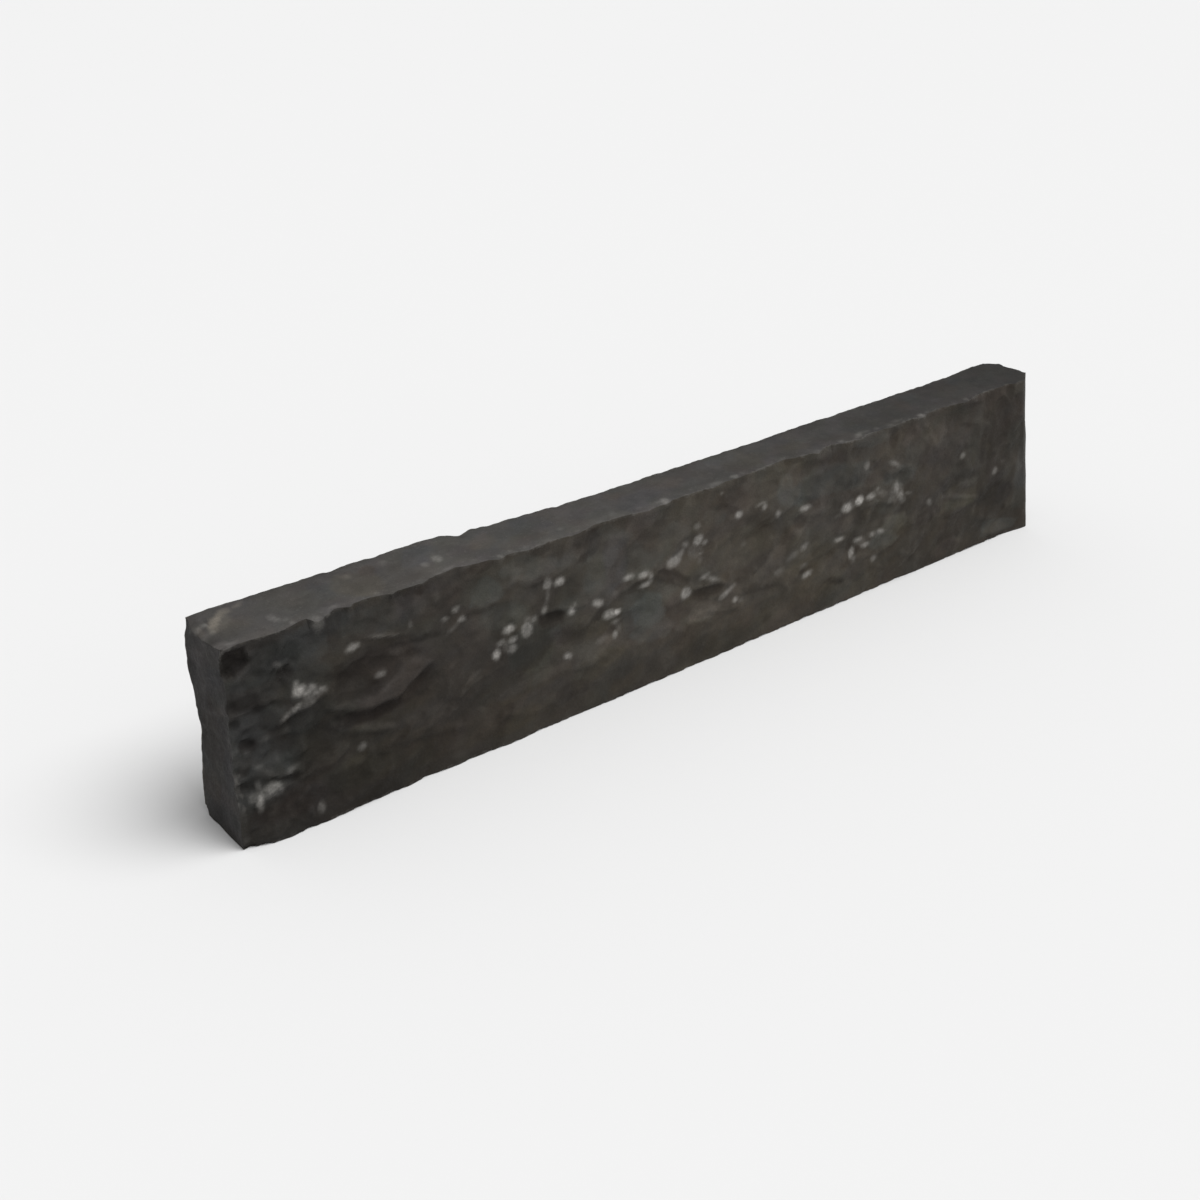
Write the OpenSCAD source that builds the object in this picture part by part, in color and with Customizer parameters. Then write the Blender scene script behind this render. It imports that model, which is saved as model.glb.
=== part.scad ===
// Split basalt edging stone: one solid length of stone set on edge.
// Top and bottom are sawn flat. The two long sides are split faces and the
// two ends are hewn. Every outline below is read in millimetres on a stone
// 1000 long, 86 wide over its bulges and 180 high, and scales with the sizes.

/* [Stone] */
// Overall length over the hewn ends
stone_l = 1000; // [800:10:1200]
// Overall width over the proudest points of the two split faces
stone_w = 86; // [70:1:110]
// Height between the two sawn faces
stone_h = 180; // [150:5:220]

/* [Relief] */
// Depth of the hollows and ridges of the split faces, 1 is as split
relief = 1; // [0.3:0.1:1.2]
// Depth of the small unevenness between them
unevenness = 1; // [0:0.25:1.5]
// Spall off the upright corner of the far end, 1 is as found
corner_spall = 1; // [0:0.1:1.2]

/* [Hidden] */

// The stone's own coordinates: u along the length (0 at the near top corner,
// far top corner at 992), v upwards from the bed, w from front to back.
u_lo = -4; u_hi = 996;
w_lo = -13; w_hi = 73;
v_hi = 180;
ku = stone_l / (u_hi - u_lo);
kw = stone_w / (w_hi - w_lo);
kv = stone_h / v_hi;

// ---- helpers ----------------------------------------------------------
function ease(t) = t * t * (3 - 2 * t);
function slot(xs, x, i = 0) = (i >= len(xs) - 2 || x < xs[i + 1]) ? i : slot(xs, x, i + 1);
function part01(xs, x, i) = min(1, max(0, (x - xs[i]) / (xs[i + 1] - xs[i])));
// straight runs between listed values
function run(xs, ys, x) = let (i = slot(xs, x), t = part01(xs, x, i)) ys[i] + (ys[i + 1] - ys[i]) * t;
// smooth sheet over a table with one row of values for each level
function sheet(xs, zs, rows, x, z) =
    let (k = slot(zs, z), s = ease(part01(zs, z, k)), i = slot(xs, x), t = ease(part01(xs, x, i)))
    (rows[k][i] * (1 - t) + rows[k][i + 1] * t) * (1 - s)
    + (rows[k + 1][i] * (1 - t) + rows[k + 1][i + 1] * t) * s;
// repeatable unevenness
function fract(x) = x - floor(x);
function cell(i, j, s) = fract(sin(i * 127.1 + j * 311.7 + s * 74.7) * 437.58) * 2 - 1;
function lump(x, z, size, s) =
    let (a = x / size, b = z / size, i = floor(a), j = floor(b), p = ease(a - i), q = ease(b - j))
    (cell(i, j, s) * (1 - p) + cell(i + 1, j, s) * p) * (1 - q)
    + (cell(i, j + 1, s) * (1 - p) + cell(i + 1, j + 1, s) * p) * q;
function rough(x, z, s) = unevenness * (1.3 * lump(x, z, 46, s) + 0.7 * lump(x + 11, z + 7, 21, s + 3));
// one shell-shaped hollow: [u, v, half length, half height, turn, depth]
function hollow(x, z, h) =
    let (c = cos(h[4]), s = sin(h[4]), p = ((x - h[0]) * c + (z - h[1]) * s) / h[2],
         q = (-(x - h[0]) * s + (z - h[1]) * c) / h[3], r = p * p + q * q)
    r < 1 ? h[5] * (1 - r) * (1 - r) : 0;
// one flake edge: gentle above its line, steep below it
// [u, v, half length, height of the gentle side, turn, step]
function flake(x, z, f) =
    let (c = cos(f[4]), s = sin(f[4]), p = ((x - f[0]) * c + (z - f[1]) * s) / f[2],
         q = (-(x - f[0]) * s + (z - f[1]) * c) / f[3])
    abs(p) >= 1 || q > 1 || q < -0.3 ? 0
    : f[5] * (1 - p * p) * (q >= 0 ? (1 - ease(q)) : ease(1 + q / 0.3));
function total(v, i = 0) = i >= len(v) ? 0 : v[i] + total(v, i + 1);

// ---- front split face -------------------------------------------------
// how far it stands out beyond the line of its top edge
f_u = [0, 25, 70, 145, 172, 192, 250, 365, 490, 630, 785, 900, 960, 992];
f_v = [0, 45, 90, 135, 180];
f_out = [
    [ 8, 14, 14, 13,  9, 11, 11,  9,  8,  6, 4, 3, 3, 7],
    [ 5, 11, 14, 15, 13, 12, 11, 11,  9,  9, 8, 6, 5, 4],
    [ 3,  8, 11, 13, 12, 11,  9,  8, 10,  8, 9, 8, 6, 5],
    [ 2,  5,  7,  9,  8,  6,  5,  6,  7,  9, 7, 7, 5, 4],
    [ 0,  0,  0,  0,  0,  0,  0,  0,  0,  0, 0, 0, 0, 0]];
f_edge = 3;       // line of the top front edge
f_hollows = [
    [  8, 168, 22, 15,  10, 6], [ 48, 140, 26, 13,  60, 3], [ 12,  96, 20, 14,  20, 3],
    [ 28,  30, 34, 20,  15, 4], [125, 124, 50, 13,   5, 4], [255, 148, 60, 22,  15, 4],
    [318, 106, 26, 13, -10, 5], [240,  52, 90, 26,  20, 4], [360, 166, 46, 16, -15, 4],
    [425,  68, 48, 22,  15, 5], [505,  72, 34, 13, -15, 5], [455, 150, 60, 22,  25, 4],
    [560, 128, 42, 30,  35, 4], [600,  60, 60, 20, -20, 4], [655, 140, 48, 24,  40, 4],
    [715,  84, 44, 20,  30, 4], [770, 140, 40, 28,  50, 4], [840,  52, 60, 26,  20, 4],
    [900, 140, 52, 26,  35, 4], [950,  40, 40, 30,  60, 3]];
f_flakes = [
    [138,  90, 56, 30,  6, 5], [125,  64, 46, 16, -14, 3], [150, 140, 44, 16, -12, 3],
    [450, 104, 50, 22, -18, 4], [545,  84, 60, 20, -22, 3], [700,  40, 60, 22, -15, 3],
    [300,  30, 90, 24,  12, 3], [820, 100, 50, 24,  30, 3]];

// ---- back split face ---------------------------------------------------
// place of the back face, with the wide part near the left end that stops
// at a notch 250 along
b_u = [0, 35, 120, 190, 244, 251, 258, 276, 300, 405, 540, 620, 710, 800, 900, 968, 992];
b_v = [0, 45, 82, 105, 152, 180];
b_w = [
    [64, 69, 69, 70, 70, 69, 68, 68, 66, 64, 63, 64, 66, 67, 69, 70, 68],
    [61.5, 66, 68, 70, 68, 66, 64, 64, 63, 60, 60, 62, 65, 67, 68, 68, 66],
    [56.5, 60, 64, 66, 65, 63, 61, 62, 60, 57, 58, 60, 63, 66, 67, 66, 63],
    [60.5, 63, 66, 68, 67, 64, 60, 62, 59, 56, 58, 60, 62, 65, 66, 66, 63],
    [67.5, 70, 72, 72, 71, 68, 61, 64, 60, 56, 57, 59, 61, 63, 66, 68, 66],
    [65, 71, 72, 72, 72, 68, 60, 66, 61, 56, 57, 58, 61, 63, 65, 69, 69]];
b_hollows = [
    [ 90, 120, 60, 26,  15, 4], [180,  60, 60, 30, -20, 4], [340,  50, 70, 28,  10, 4],
    [330, 120, 50, 20, -30, 3], [450, 130, 60, 26,  20, 3], [520,  50, 60, 26, -15, 4],
    [640, 110, 66, 30,  30, 4], [720,  40, 60, 22,  10, 4], [820, 120, 60, 28, -25, 4],
    [900,  50, 50, 26,  20, 3]];

// square recess under the near top corner of the front face
function recess(u, v) = 6 * relief * min(1, max(0, (21 - u) / 6)) * min(1, max(0, (v - 152) / 6))
    * min(1, max(0, (180 - v) / 5));
// chip off the far top corner of the back face
function chip(u, v) = 70 - 1.1 * relief * (u - 981) + (180 - v);
// spall off the far front corner: a sloping plane, widest at the top
function spall(u, v) = corner_spall <= 0 ? -99 : -4 + 24 * corner_spall * (v / 180) - 0.71 * (992 - u);

function front_w(u, v) =
    let (vv = min(180, max(0, v)), fade = min(1, max(0, (176 - vv) / 22)), foot = 0.35 + 0.65 * min(1, vv / 24),
         out = sheet(f_u, f_v, f_out, u, vv)
             + fade * foot * (rough(u, vv, 1) - relief * total([for (h = f_hollows) hollow(u, vv, h)])
             + relief * total([for (f = f_flakes) flake(u, vv, f)])) - recess(u, vv))
    max(f_edge - out, spall(u, vv));
function back_w(u, v) =
    let (vv = min(180, max(0, v)), fade = min(1, max(0, (176 - vv) / 30)))
    min(chip(u, vv), sheet(b_u, b_v, b_w, u, vv)
        + fade * (rough(u, vv, 8) - relief * total([for (h = b_hollows) hollow(u, vv, h)])));

// ---- hewn ends -----------------------------------------------------------
// both lean out a little towards the bed
function left_u(w, v) =
    let (vv = min(180, max(0, v)), t = (w - 3) / 66)
    -4.6 * (1 - vv / 180) + 1.6 * t * (1 - vv / 180) + 2 * relief * t * (1 - t) * 4 * sin(vv)
    + 0.6 * unevenness * lump(w, vv, 19, 5);
function right_u(w, v) =
    let (vv = min(180, max(0, v)), t = (w - 3) / 66)
    992 + 4.6 * (1 - vv / 180) - 2 * relief * t * (1 - t) * 4 * sin(vv * 0.9)
    - 0.6 * unevenness * (1 + lump(w, vv, 23, 6));

// ---- rough block as rings of points --------------------------------------
us = concat([0, 6, 12, 18, 25, 34], [for (i = [0:13]) 45 + 14 * i],
            [236, 244, 251, 258, 267, 276, 287], [for (i = [0:45]) 300 + 14 * i],
            [943, 954, 964, 973, 981, 987, 992]);
nu = len(us) - 1;
nv = 16;
nw = 6;
function level(k) = -5 + k * 190 / nv;
function site(u, v, w, first, last) =
    [((first ? left_u(w, v) : last ? right_u(w, v) : u) - (u_lo + u_hi) / 2) * ku,
     (w - (w_lo + w_hi) / 2) * kw, v * kv];
function across(u, v, j) = let (a = front_w(u, v), b = back_w(u, v)) a + (b - a) * j / nw;
function ring(i) =
    let (u = us[i], a = i == 0, b = i == nu)
    concat([for (k = [0:nv]) site(u, level(k), across(u, level(k), 0), a, b)],
           [for (j = [1:nw - 1]) site(u, level(nv), across(u, level(nv), j), a, b)],
           [for (k = [nv:-1:0]) site(u, level(k), across(u, level(k), nw), a, b)],
           [for (j = [nw - 1:-1:1]) site(u, level(0), across(u, level(0), j), a, b)]);
nr = 2 * (nv + 1) + 2 * (nw - 1);
function inner(i) =
    let (u = us[i], a = i == 0, b = i == nu)
    [for (k = [1:nv - 1]) for (j = [1:nw - 1]) site(u, level(k), across(u, level(k), j), a, b)];
n_in = (nv - 1) * (nw - 1);
base_a = (nu + 1) * nr;
base_b = base_a + n_in;
// number of a point on an end, k up and j across
function on_end(i, k, j) =
    j == 0 ? i * nr + k
    : j == nw ? i * nr + (nv + 1) + (nw - 1) + (nv - k)
    : k == nv ? i * nr + nv + j
    : k == 0 ? i * nr + 2 * (nv + 1) + (nw - 1) + (nw - 1 - j)
    : (i == 0 ? base_a : base_b) + (k - 1) * (nw - 1) + (j - 1);
pts = concat([for (i = [0:nu]) each ring(i)], inner(0), inner(nu));
skin = [for (i = [0:nu - 1]) for (r = [0:nr - 1])
    let (a = i * nr + r, b = i * nr + (r + 1) % nr, c = a + nr, d = b + nr)
    each ((i + r) % 2 == 0 ? [[a, b, d], [a, d, c]] : [[a, b, c], [b, d, c]])];
cap_a = [for (k = [0:nv - 1]) for (j = [0:nw - 1])
    let (a = on_end(0, k, j), b = on_end(0, k, j + 1), c = on_end(0, k + 1, j), d = on_end(0, k + 1, j + 1))
    each [[a, b, d], [a, d, c]]];
cap_b = [for (k = [0:nv - 1]) for (j = [0:nw - 1])
    let (a = on_end(nu, k, j), b = on_end(nu, k, j + 1), c = on_end(nu, k + 1, j), d = on_end(nu, k + 1, j + 1))
    each [[a, d, b], [a, c, d]]];

// The split block, cut by the two saw planes and the overall sizes.
module edging_stone() {
    color([0.21, 0.2, 0.19])
    intersection() {
        polyhedron(points = pts, faces = concat(skin, cap_a, cap_b), convexity = 6);
        translate([-stone_l / 2, -stone_w / 2, 0]) cube([stone_l, stone_w, stone_h]);
    }
}

edging_stone();
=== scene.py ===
"""Basalt edging stone: the finish of one split and sawn length of stone.

The stone's own coordinates are used below, in millimetres: u along the length
from the near top corner, v up from the bed, w from the front to the back. They
are the ones of the CAD source. The row frame is x = u - 496, y = w - 30, z = v.
"""
import math

import bpy
import numpy as np
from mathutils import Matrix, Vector


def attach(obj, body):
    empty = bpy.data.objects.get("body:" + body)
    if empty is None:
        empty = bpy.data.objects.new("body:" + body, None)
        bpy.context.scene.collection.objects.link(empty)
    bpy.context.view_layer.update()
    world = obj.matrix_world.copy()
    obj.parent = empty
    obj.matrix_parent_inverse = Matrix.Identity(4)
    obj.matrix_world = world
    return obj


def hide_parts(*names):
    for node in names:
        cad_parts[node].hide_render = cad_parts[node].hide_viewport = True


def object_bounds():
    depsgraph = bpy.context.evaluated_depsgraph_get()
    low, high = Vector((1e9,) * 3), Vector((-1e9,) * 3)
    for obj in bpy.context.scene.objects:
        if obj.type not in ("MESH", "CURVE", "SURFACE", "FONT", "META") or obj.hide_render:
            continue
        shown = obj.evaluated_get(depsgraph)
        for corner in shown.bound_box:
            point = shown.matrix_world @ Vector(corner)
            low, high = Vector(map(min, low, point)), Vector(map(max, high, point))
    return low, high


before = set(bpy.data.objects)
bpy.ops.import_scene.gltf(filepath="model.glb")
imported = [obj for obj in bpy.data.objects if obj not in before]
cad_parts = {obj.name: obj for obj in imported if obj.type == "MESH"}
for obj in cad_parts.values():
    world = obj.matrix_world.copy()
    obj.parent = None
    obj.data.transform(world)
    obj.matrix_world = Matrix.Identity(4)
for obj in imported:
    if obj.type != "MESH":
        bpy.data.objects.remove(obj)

cad_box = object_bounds()
U0, W0 = 496.0, 30.0


# ------------------------------------------------------------------ helpers
def ease(t):
    return t * t * (3 - 2 * t)


def smooth(a, b, x):
    return ease(np.clip((x - a) / (b - a), 0, 1))


def sheet(xs, zs, rows, x, z):
    xs, zs, rows = np.array(xs, float), np.array(zs, float), np.array(rows, float)
    i = np.clip(np.searchsorted(xs, x, "right") - 1, 0, len(xs) - 2)
    k = np.clip(np.searchsorted(zs, z, "right") - 1, 0, len(zs) - 2)
    t = ease(np.clip((x - xs[i]) / (xs[i + 1] - xs[i]), 0, 1))
    s = ease(np.clip((z - zs[k]) / (zs[k + 1] - zs[k]), 0, 1))
    low = rows[k, i] * (1 - t) + rows[k, i + 1] * t
    high = rows[k + 1, i] * (1 - t) + rows[k + 1, i + 1] * t
    return low * (1 - s) + high * s


def hashed(i, j, k, seed):
    """Repeatable value from 0 to 1 for each whole-number cell."""
    n = (i.astype(np.int64) * 374761393 + j.astype(np.int64) * 668265263
         + k.astype(np.int64) * 2147483647 + seed * 974711) & 0xFFFFFFFF
    n = ((n ^ (n >> 13)) * 1274126177) & 0xFFFFFFFF
    n = ((n ^ (n >> 16)) * 2246822519) & 0xFFFFFFFF
    return ((n ^ (n >> 15)) & 0xFFFFFF) / float(0x1000000)


def grain2(x, y, size, seed=0):
    """Gradient noise over a plane, about -1 to 1."""
    a, b = x / size, y / size
    i, j = np.floor(a), np.floor(b)
    fx, fy = a - i, b - j
    tx, ty = fx * fx * fx * (fx * (fx * 6 - 15) + 10), fy * fy * fy * (fy * (fy * 6 - 15) + 10)
    zero = np.zeros_like(i)

    def corner(di, dj):
        ang = hashed(i + di, j + dj, zero, seed) * 2 * math.pi
        return np.cos(ang) * (fx - di) + np.sin(ang) * (fy - dj)
    top = corner(0, 0) * (1 - tx) + corner(1, 0) * tx
    low = corner(0, 1) * (1 - tx) + corner(1, 1) * tx
    return (top * (1 - ty) + low * ty) * 1.5


def fractal2(x, y, size, seed=0, octaves=4, gain=0.5):
    total, amp = 0, 1.0
    for o in range(octaves):
        total = total + amp * grain2(x + 17.3 * o, y - 9.1 * o, size / 2 ** o, seed + o)
        amp *= gain
    return total


def facets(x, y, size, stretch, turn, seed, tilt, step, soft=0.16):
    """Broken stone: flat facets of random slope and height, met in narrow edges.
    size is the short width of a facet in mm; tilt its slope; step its height in mm."""
    c, s = math.cos(math.radians(turn)), math.sin(math.radians(turn))
    a, b = (x * c + y * s) / (size * stretch), (-x * s + y * c) / size
    i, j = np.floor(a), np.floor(b)
    found = []
    zero = np.zeros_like(i)
    for di in (-1, 0, 1):
        for dj in (-1, 0, 1):
            r = [hashed(i + di, j + dj, zero + k, seed) for k in range(5)]
            da, db = a - (i + di + 0.1 + 0.8 * r[0]), b - (j + dj + 0.1 + 0.8 * r[1])
            d = np.sqrt(da * da + db * db)
            h = step * (2 * r[2] - 1) + size * tilt * ((2 * r[3] - 1) * da * stretch + (2 * r[4] - 1) * db)
            found.append((d, h))
    nearest = np.minimum.reduce([d for d, h in found])
    share = [np.clip(1 - (d - nearest) / soft, 0, 1) ** 1.5 for d, h in found]
    return sum(w * h for w, (d, h) in zip(share, found)) / sum(share)


def turned(x, z, cx, cz, half_a, half_b, turn):
    c, s = math.cos(math.radians(turn)), math.sin(math.radians(turn))
    return ((x - cx) * c + (z - cz) * s) / half_a, (-(x - cx) * s + (z - cz) * c) / half_b


def inside(x, z, corners):
    """How far inside a many-sided patch a place is, in mm; corners run anticlockwise."""
    d = np.full(np.shape(x), 1e3)
    for (x0, z0), (x1, z1) in zip(corners, corners[1:] + corners[:1]):
        run = math.hypot(x1 - x0, z1 - z0)
        d = np.minimum(d, ((x1 - x0) * (z - z0) - (z1 - z0) * (x - x0)) / run)
    return d


# ------------------------------------------------------------- front face
F_U = [0, 25, 70, 145, 172, 192, 250, 365, 490, 630, 785, 900, 960, 992]
F_V = [0, 45, 90, 135, 180]
F_OUT = [
    [8, 14, 14, 13, 9.5, 11.3, 12, 10.5, 9.4, 7.4, 5.5, 4.2, 3.4, 7],
    [5, 11, 14, 15, 13, 12, 11, 11, 9, 9, 8, 6, 5, 3],
    [3, 8, 11, 13, 12, 11, 9, 8, 10, 8, 9, 8, 6, 3.8],
    [2, 5, 7, 9, 8, 6, 5, 6, 7, 9, 7, 7, 5, 4],
    [0, 0, 0, 0, 0, 0, 0, 0, 0, 0, 0, 0, 0, 0]]
F_EDGE = 3.0

# one ledge each: its lower edge as a line of points, how high above the line
# the lit slope starts, and how far the ledge stands out
LEDGES = [
    ([(82, 100), (90, 97), (104, 91), (124, 86), (132, 88), (146, 86), (156, 91), (170, 99), (186, 108)], 17, 4.6),
    ([(86, 80), (100, 73), (116, 68), (136, 62), (158, 57)], 13, 1.9),
    ([(90, 122), (100, 131), (114, 137), (140, 133), (160, 130), (184, 129), (200, 127)], 8, -1.7),
    ([(118, 150), (136, 146), (152, 142), (170, 139)], 7, 2.0),
    ([(34, 100), (50, 107), (64, 110), (84, 116)], 9, 2.4),
    ([(-2, 121), (16, 122), (34, 124), (50, 120)], 8, 2.4),
    ([(200, 128), (212, 131), (224, 139), (252, 140), (268, 136)], 10, 1.5),
    ([(262, 158), (276, 153), (292, 147), (312, 146), (340, 150), (350, 160)], 12, 1.8),
    ([(208, 64), (222, 72), (240, 77), (262, 79)], 8, 1.3),
    ([(296, 114), (308, 113), (328, 110), (350, 107)], 8, 1.8),
    ([(318, 90), (342, 84), (358, 88), (376, 97)], 10, 0.7),
    ([(366, 94), (374, 96), (388, 104), (410, 112), (430, 112), (452, 102), (478, 86)], 12, 2.0),
    ([(304, 52), (328, 50), (352, 46), (366, 50), (392, 60)], 12, 1.3),
    ([(474, 82), (494, 80), (514, 79), (530, 72)], 8, 1.8),
    ([(474, 62), (488, 54), (506, 51), (528, 46), (548, 42)], 9, 1.3),
    ([(500, 163), (520, 160), (540, 150), (556, 138)], 12, 1.0),
    ([(520, 66), (540, 60), (560, 58), (590, 56), (612, 48)], 12, 1.4),
    ([(560, 74), (575, 80), (586, 92), (588, 106)], 12, -1.2),
    ([(600, 150), (608, 146), (622, 138), (650, 132)], 12, 1.0),
    ([(612, 60), (636, 62), (664, 66), (690, 74), (706, 66)], 10, 1.0),
    ([(690, 100), (712, 101), (732, 102), (752, 96), (764, 92)], 9, 1.2),
    ([(700, 44), (724, 44), (744, 42), (768, 47), (790, 60)], 11, 1.3),
    ([(752, 128), (768, 126), (786, 125)], 10, 1.2),
    ([(796, 176), (812, 166), (818, 150), (828, 136)], 12, 1.0),
    ([(840, 54), (858, 52), (882, 56), (904, 60)], 9, 1.2),
    ([(840, 78), (860, 72), (880, 66), (904, 60)], 6, 0.9),
    ([(60, 50), (80, 54), (96, 60)], 10, 1.6),
    ([(0, 66), (18, 62), (40, 57), (52, 56)], 9, 2.4),
    ([(110, 46), (140, 47), (160, 42), (196, 38), (226, 30)], 12, 1.4),
    ([(240, 40), (262, 30), (290, 22), (330, 24)], 14, 1.0),
    ([(666, 33), (680, 29), (690, 26)], 6, 1.4),
    ([(906, 32), (930, 28), (956, 20), (984, 10)], 12, 1.2)]

# many-sided recesses: corners, depth, width of the sloping side
PITS = [
    ([(-4, 154), (8, 153), (17, 157), (21, 163), (20, 177), (-4, 178)], 5.8, 3.5),
    ([(297, 105), (303, 98), (324, 99), (328, 107), (318, 113), (299, 113)], 1.9, 5),
    ([(479, 72), (490, 66), (513, 67), (522, 74), (508, 81), (485, 81)], 1.6, 5.5),
    ([(87, 110), (92, 99), (124, 94), (152, 106), (162, 122), (142, 133), (112, 137), (97, 129)], 2.2, 9.0),
    ([(430, 111), (440, 102), (474, 85), (480, 92), (462, 107), (436, 118)], 2.4, 7.5),
    ([(3, 88), (12, 86), (20, 91), (15, 98), (5, 98)], 3.4, 3.5),
    ([(-4, 124), (20, 120), (38, 122), (36, 128), (14, 130), (6, 136), (-4, 134)], 2.0, 5.0),
    ([(44, 140), (50, 138), (56, 141), (57, 148), (46, 148)], 2.6, 3.5),
    ([(-4, 52), (6, 50), (11, 54), (8, 60), (-4, 60)], 2.0, 3.5),
    ([(24, 54), (40, 52), (44, 58), (34, 61), (22, 62)], 2.2, 3.0),
    ([(348, 148), (362, 112), (404, 116), (424, 124), (406, 160), (376, 178), (356, 172)], 2.6, 16.0),
    ([(512, 84), (556, 72), (588, 92), (586, 128), (560, 146), (520, 140), (504, 112)], 3.2, 22.0)]

# shell-shaped hollows: (u, v, half length, half height, turn, depth)
F_BOWLS = [
    (2, 115, 6, 6, 0, 3.5), (4, 71, 9, 6, 20, 3.5), (6, 55, 8, 6, 0, 3.0), (45, 53, 9, 6, 10, 3.0),
    (50, 143, 11, 9, 20, 3.2), (64, 160, 26, 15, 20, 2.6), (28, 147, 24, 10, 8, 2.4), (30, 80, 28, 12, 15, 2.4),
    (30, 26, 30, 16, 10, 3.2), (120, 120, 32, 14, 4, 3.0), (118, 158, 28, 14, -12, 2.4), (165, 122, 12, 6, -10, 2.4),
    (178, 150, 30, 16, 15, 2.6), (76, 84, 20, 18, 60, 2.4), (176, 78, 26, 20, 25, 2.8), (236, 104, 34, 18, 25, 2.6),
    (250, 160, 30, 16, 25, 2.6), (303, 174, 14, 8, -10, 2.4), (292, 84, 30, 20, 30, 3.0),
    (285, 130, 26, 14, -10, 2.4), (350, 134, 34, 24, 30, 2.8), (380, 140, 26, 22, 40, 2.6), (338, 78, 24, 14, -15, 3.0),
    (366, 92, 13, 6, 20, 3.4), (420, 70, 34, 20, 10, 3.2), (412, 96, 20, 9, -8, 2.6), (430, 140, 42, 24, 15, 3.0), (400, 170, 44, 12, -4, 1.8), (476, 150, 24, 18, 50, 2.2),
    (520, 120, 32, 26, 40, 3.0), (560, 118, 28, 24, 60, 2.6), (556, 86, 30, 12, 25, 2.8), (520, 30, 40, 16, 10, 2.4),
    (600, 148, 15, 22, 10, 2.6), (625, 109, 11, 9, 0, 3.0), (650, 152, 40, 20, -10, 2.8), (682, 134, 32, 16, -12, 2.6),
    (650, 60, 30, 16, 20, 2.6), (680, 29, 16, 5, -20, 2.6), (712, 92, 24, 14, -30, 2.6), (740, 86, 28, 12, 10, 2.4),
    (752, 53, 24, 11, 10, 3.0), (708, 57, 9, 6, 40, 3.0), (629, 53, 6, 3.5, 0, 2.4), (770, 119, 22, 10, -8, 3.0),
    (757, 167, 9, 14, 5, 3.2), (720, 165, 34, 14, -6, 2.4), (788, 150, 24, 18, 40, 2.4), (812, 116, 26, 20, 30, 2.4),
    (860, 152, 36, 24, 20, 2.6), (878, 112, 34, 16, -10, 2.4), (864, 76, 34, 10, -12, 2.4), (838, 42, 40, 20, 12, 2.6),
    (930, 150, 26, 26, 70, 3.0), (930, 100, 28, 18, 10, 2.4), (938, 54, 34, 20, 20, 2.6), (960, 22, 26, 12, -15, 2.4),
    (230, 42, 52, 20, 18, 3.0), (150, 38, 34, 14, 8, 2.4), (90, 28, 30, 16, 10, 2.6), (310, 40, 46, 16, 12, 2.6),
    (440, 24, 46, 14, 6, 1.2), (620, 24, 44, 14, -10, 2.2), (100, 50, 22, 10, 15, 2.0)]


def recesses(u, v):
    total = np.zeros_like(u)
    for corners, depth, side in PITS:
        total = total + depth * smooth(0, side, inside(u, v, corners) + 0.5)
    return total * (0.72 + 0.28 * smooth(-2, 7, u))


def ledges(u, v, items=LEDGES):
    """Height of a family of stepped ledges: a steep edge on a wandering line,
    and a slope that falls back above it."""
    total = np.zeros_like(u)
    for line, reach, step in items:
        under = min(9.0, 0.5 * reach + 1.5)
        xs, zs = [p[0] for p in line], [p[1] for p in line]
        near = np.interp(u, xs, zs) + 0.62 * max(step, 0) + 0.8 * grain2(u, v * 0 + 3, 13, 41) + 0.5 * grain2(u, v, 6, 43)
        q = v - near
        half = (xs[-1] - xs[0]) / 2
        mid = (xs[-1] + xs[0]) / 2
        ends = np.clip(1 - ((u - mid) / (half + 4)) ** 2, 0, 1) ** 0.7
        up = np.where(q >= 0, np.clip(1 - q / reach, 0, 1) ** 1.25, 1.35 * smooth(-under, 0, q) - 0.35 * smooth(-under - 10, -under, q))
        total = total + step * ends * up
    return total


def bowls(u, v, items):
    depth = np.zeros_like(u)
    for cx, cz, a, b, turn, d in items:
        p, q = turned(u, v, cx, cz, a, b, turn)
        wob = 1 + 0.16 * grain2(u, v, 15, int(cx) % 91)
        depth = np.maximum(depth, d * (1 - (p * p + q * q) * wob))
    return depth


def strewn(u, v, seed, count, a_lo, a_hi, turn_lo, turn_hi, d_lo, d_hi, u_hi=992, v_hi=180):
    rng = np.random.RandomState(seed)
    out = []
    for _ in range(count):
        a = rng.uniform(a_lo, a_hi)
        out.append((rng.uniform(-5, u_hi + 5), rng.uniform(-5, v_hi + 5), a, a * rng.uniform(0.35, 0.7),
                    rng.uniform(turn_lo, turn_hi), rng.uniform(d_lo, d_hi) * a / a_hi))
    depth = np.zeros_like(u)
    for cx, cz, a, b, turn, d in out:
        near = (np.abs(u - cx) < a * 1.3) & (np.abs(v - cz) < a * 1.3)
        if near.any():
            p, q = turned(u[near], v[near], cx, cz, a, b, turn)
            depth[near] = np.maximum(depth[near], d * (1 - (p * p + q * q)))
    return depth


def plain_face(u, v):
    """The slab's face if it were plain, from the top edge to the bottom edge."""
    return F_EDGE - (1 - np.clip(v, 0, 180) / 180) * np.interp(u, F_U, F_OUT[0])


def lean(u, v, proud):
    """Marks are given by their place on the plain face. On a bulge they sit
    further on and lower, along the slanting line of the blow."""
    return u + proud * (u + 454) / 1020, v + proud * (v - 780) / 1020


def spall(u, v):
    return -4 + 24 * (v / 180) - 0.71 * (992 - u)


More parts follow.
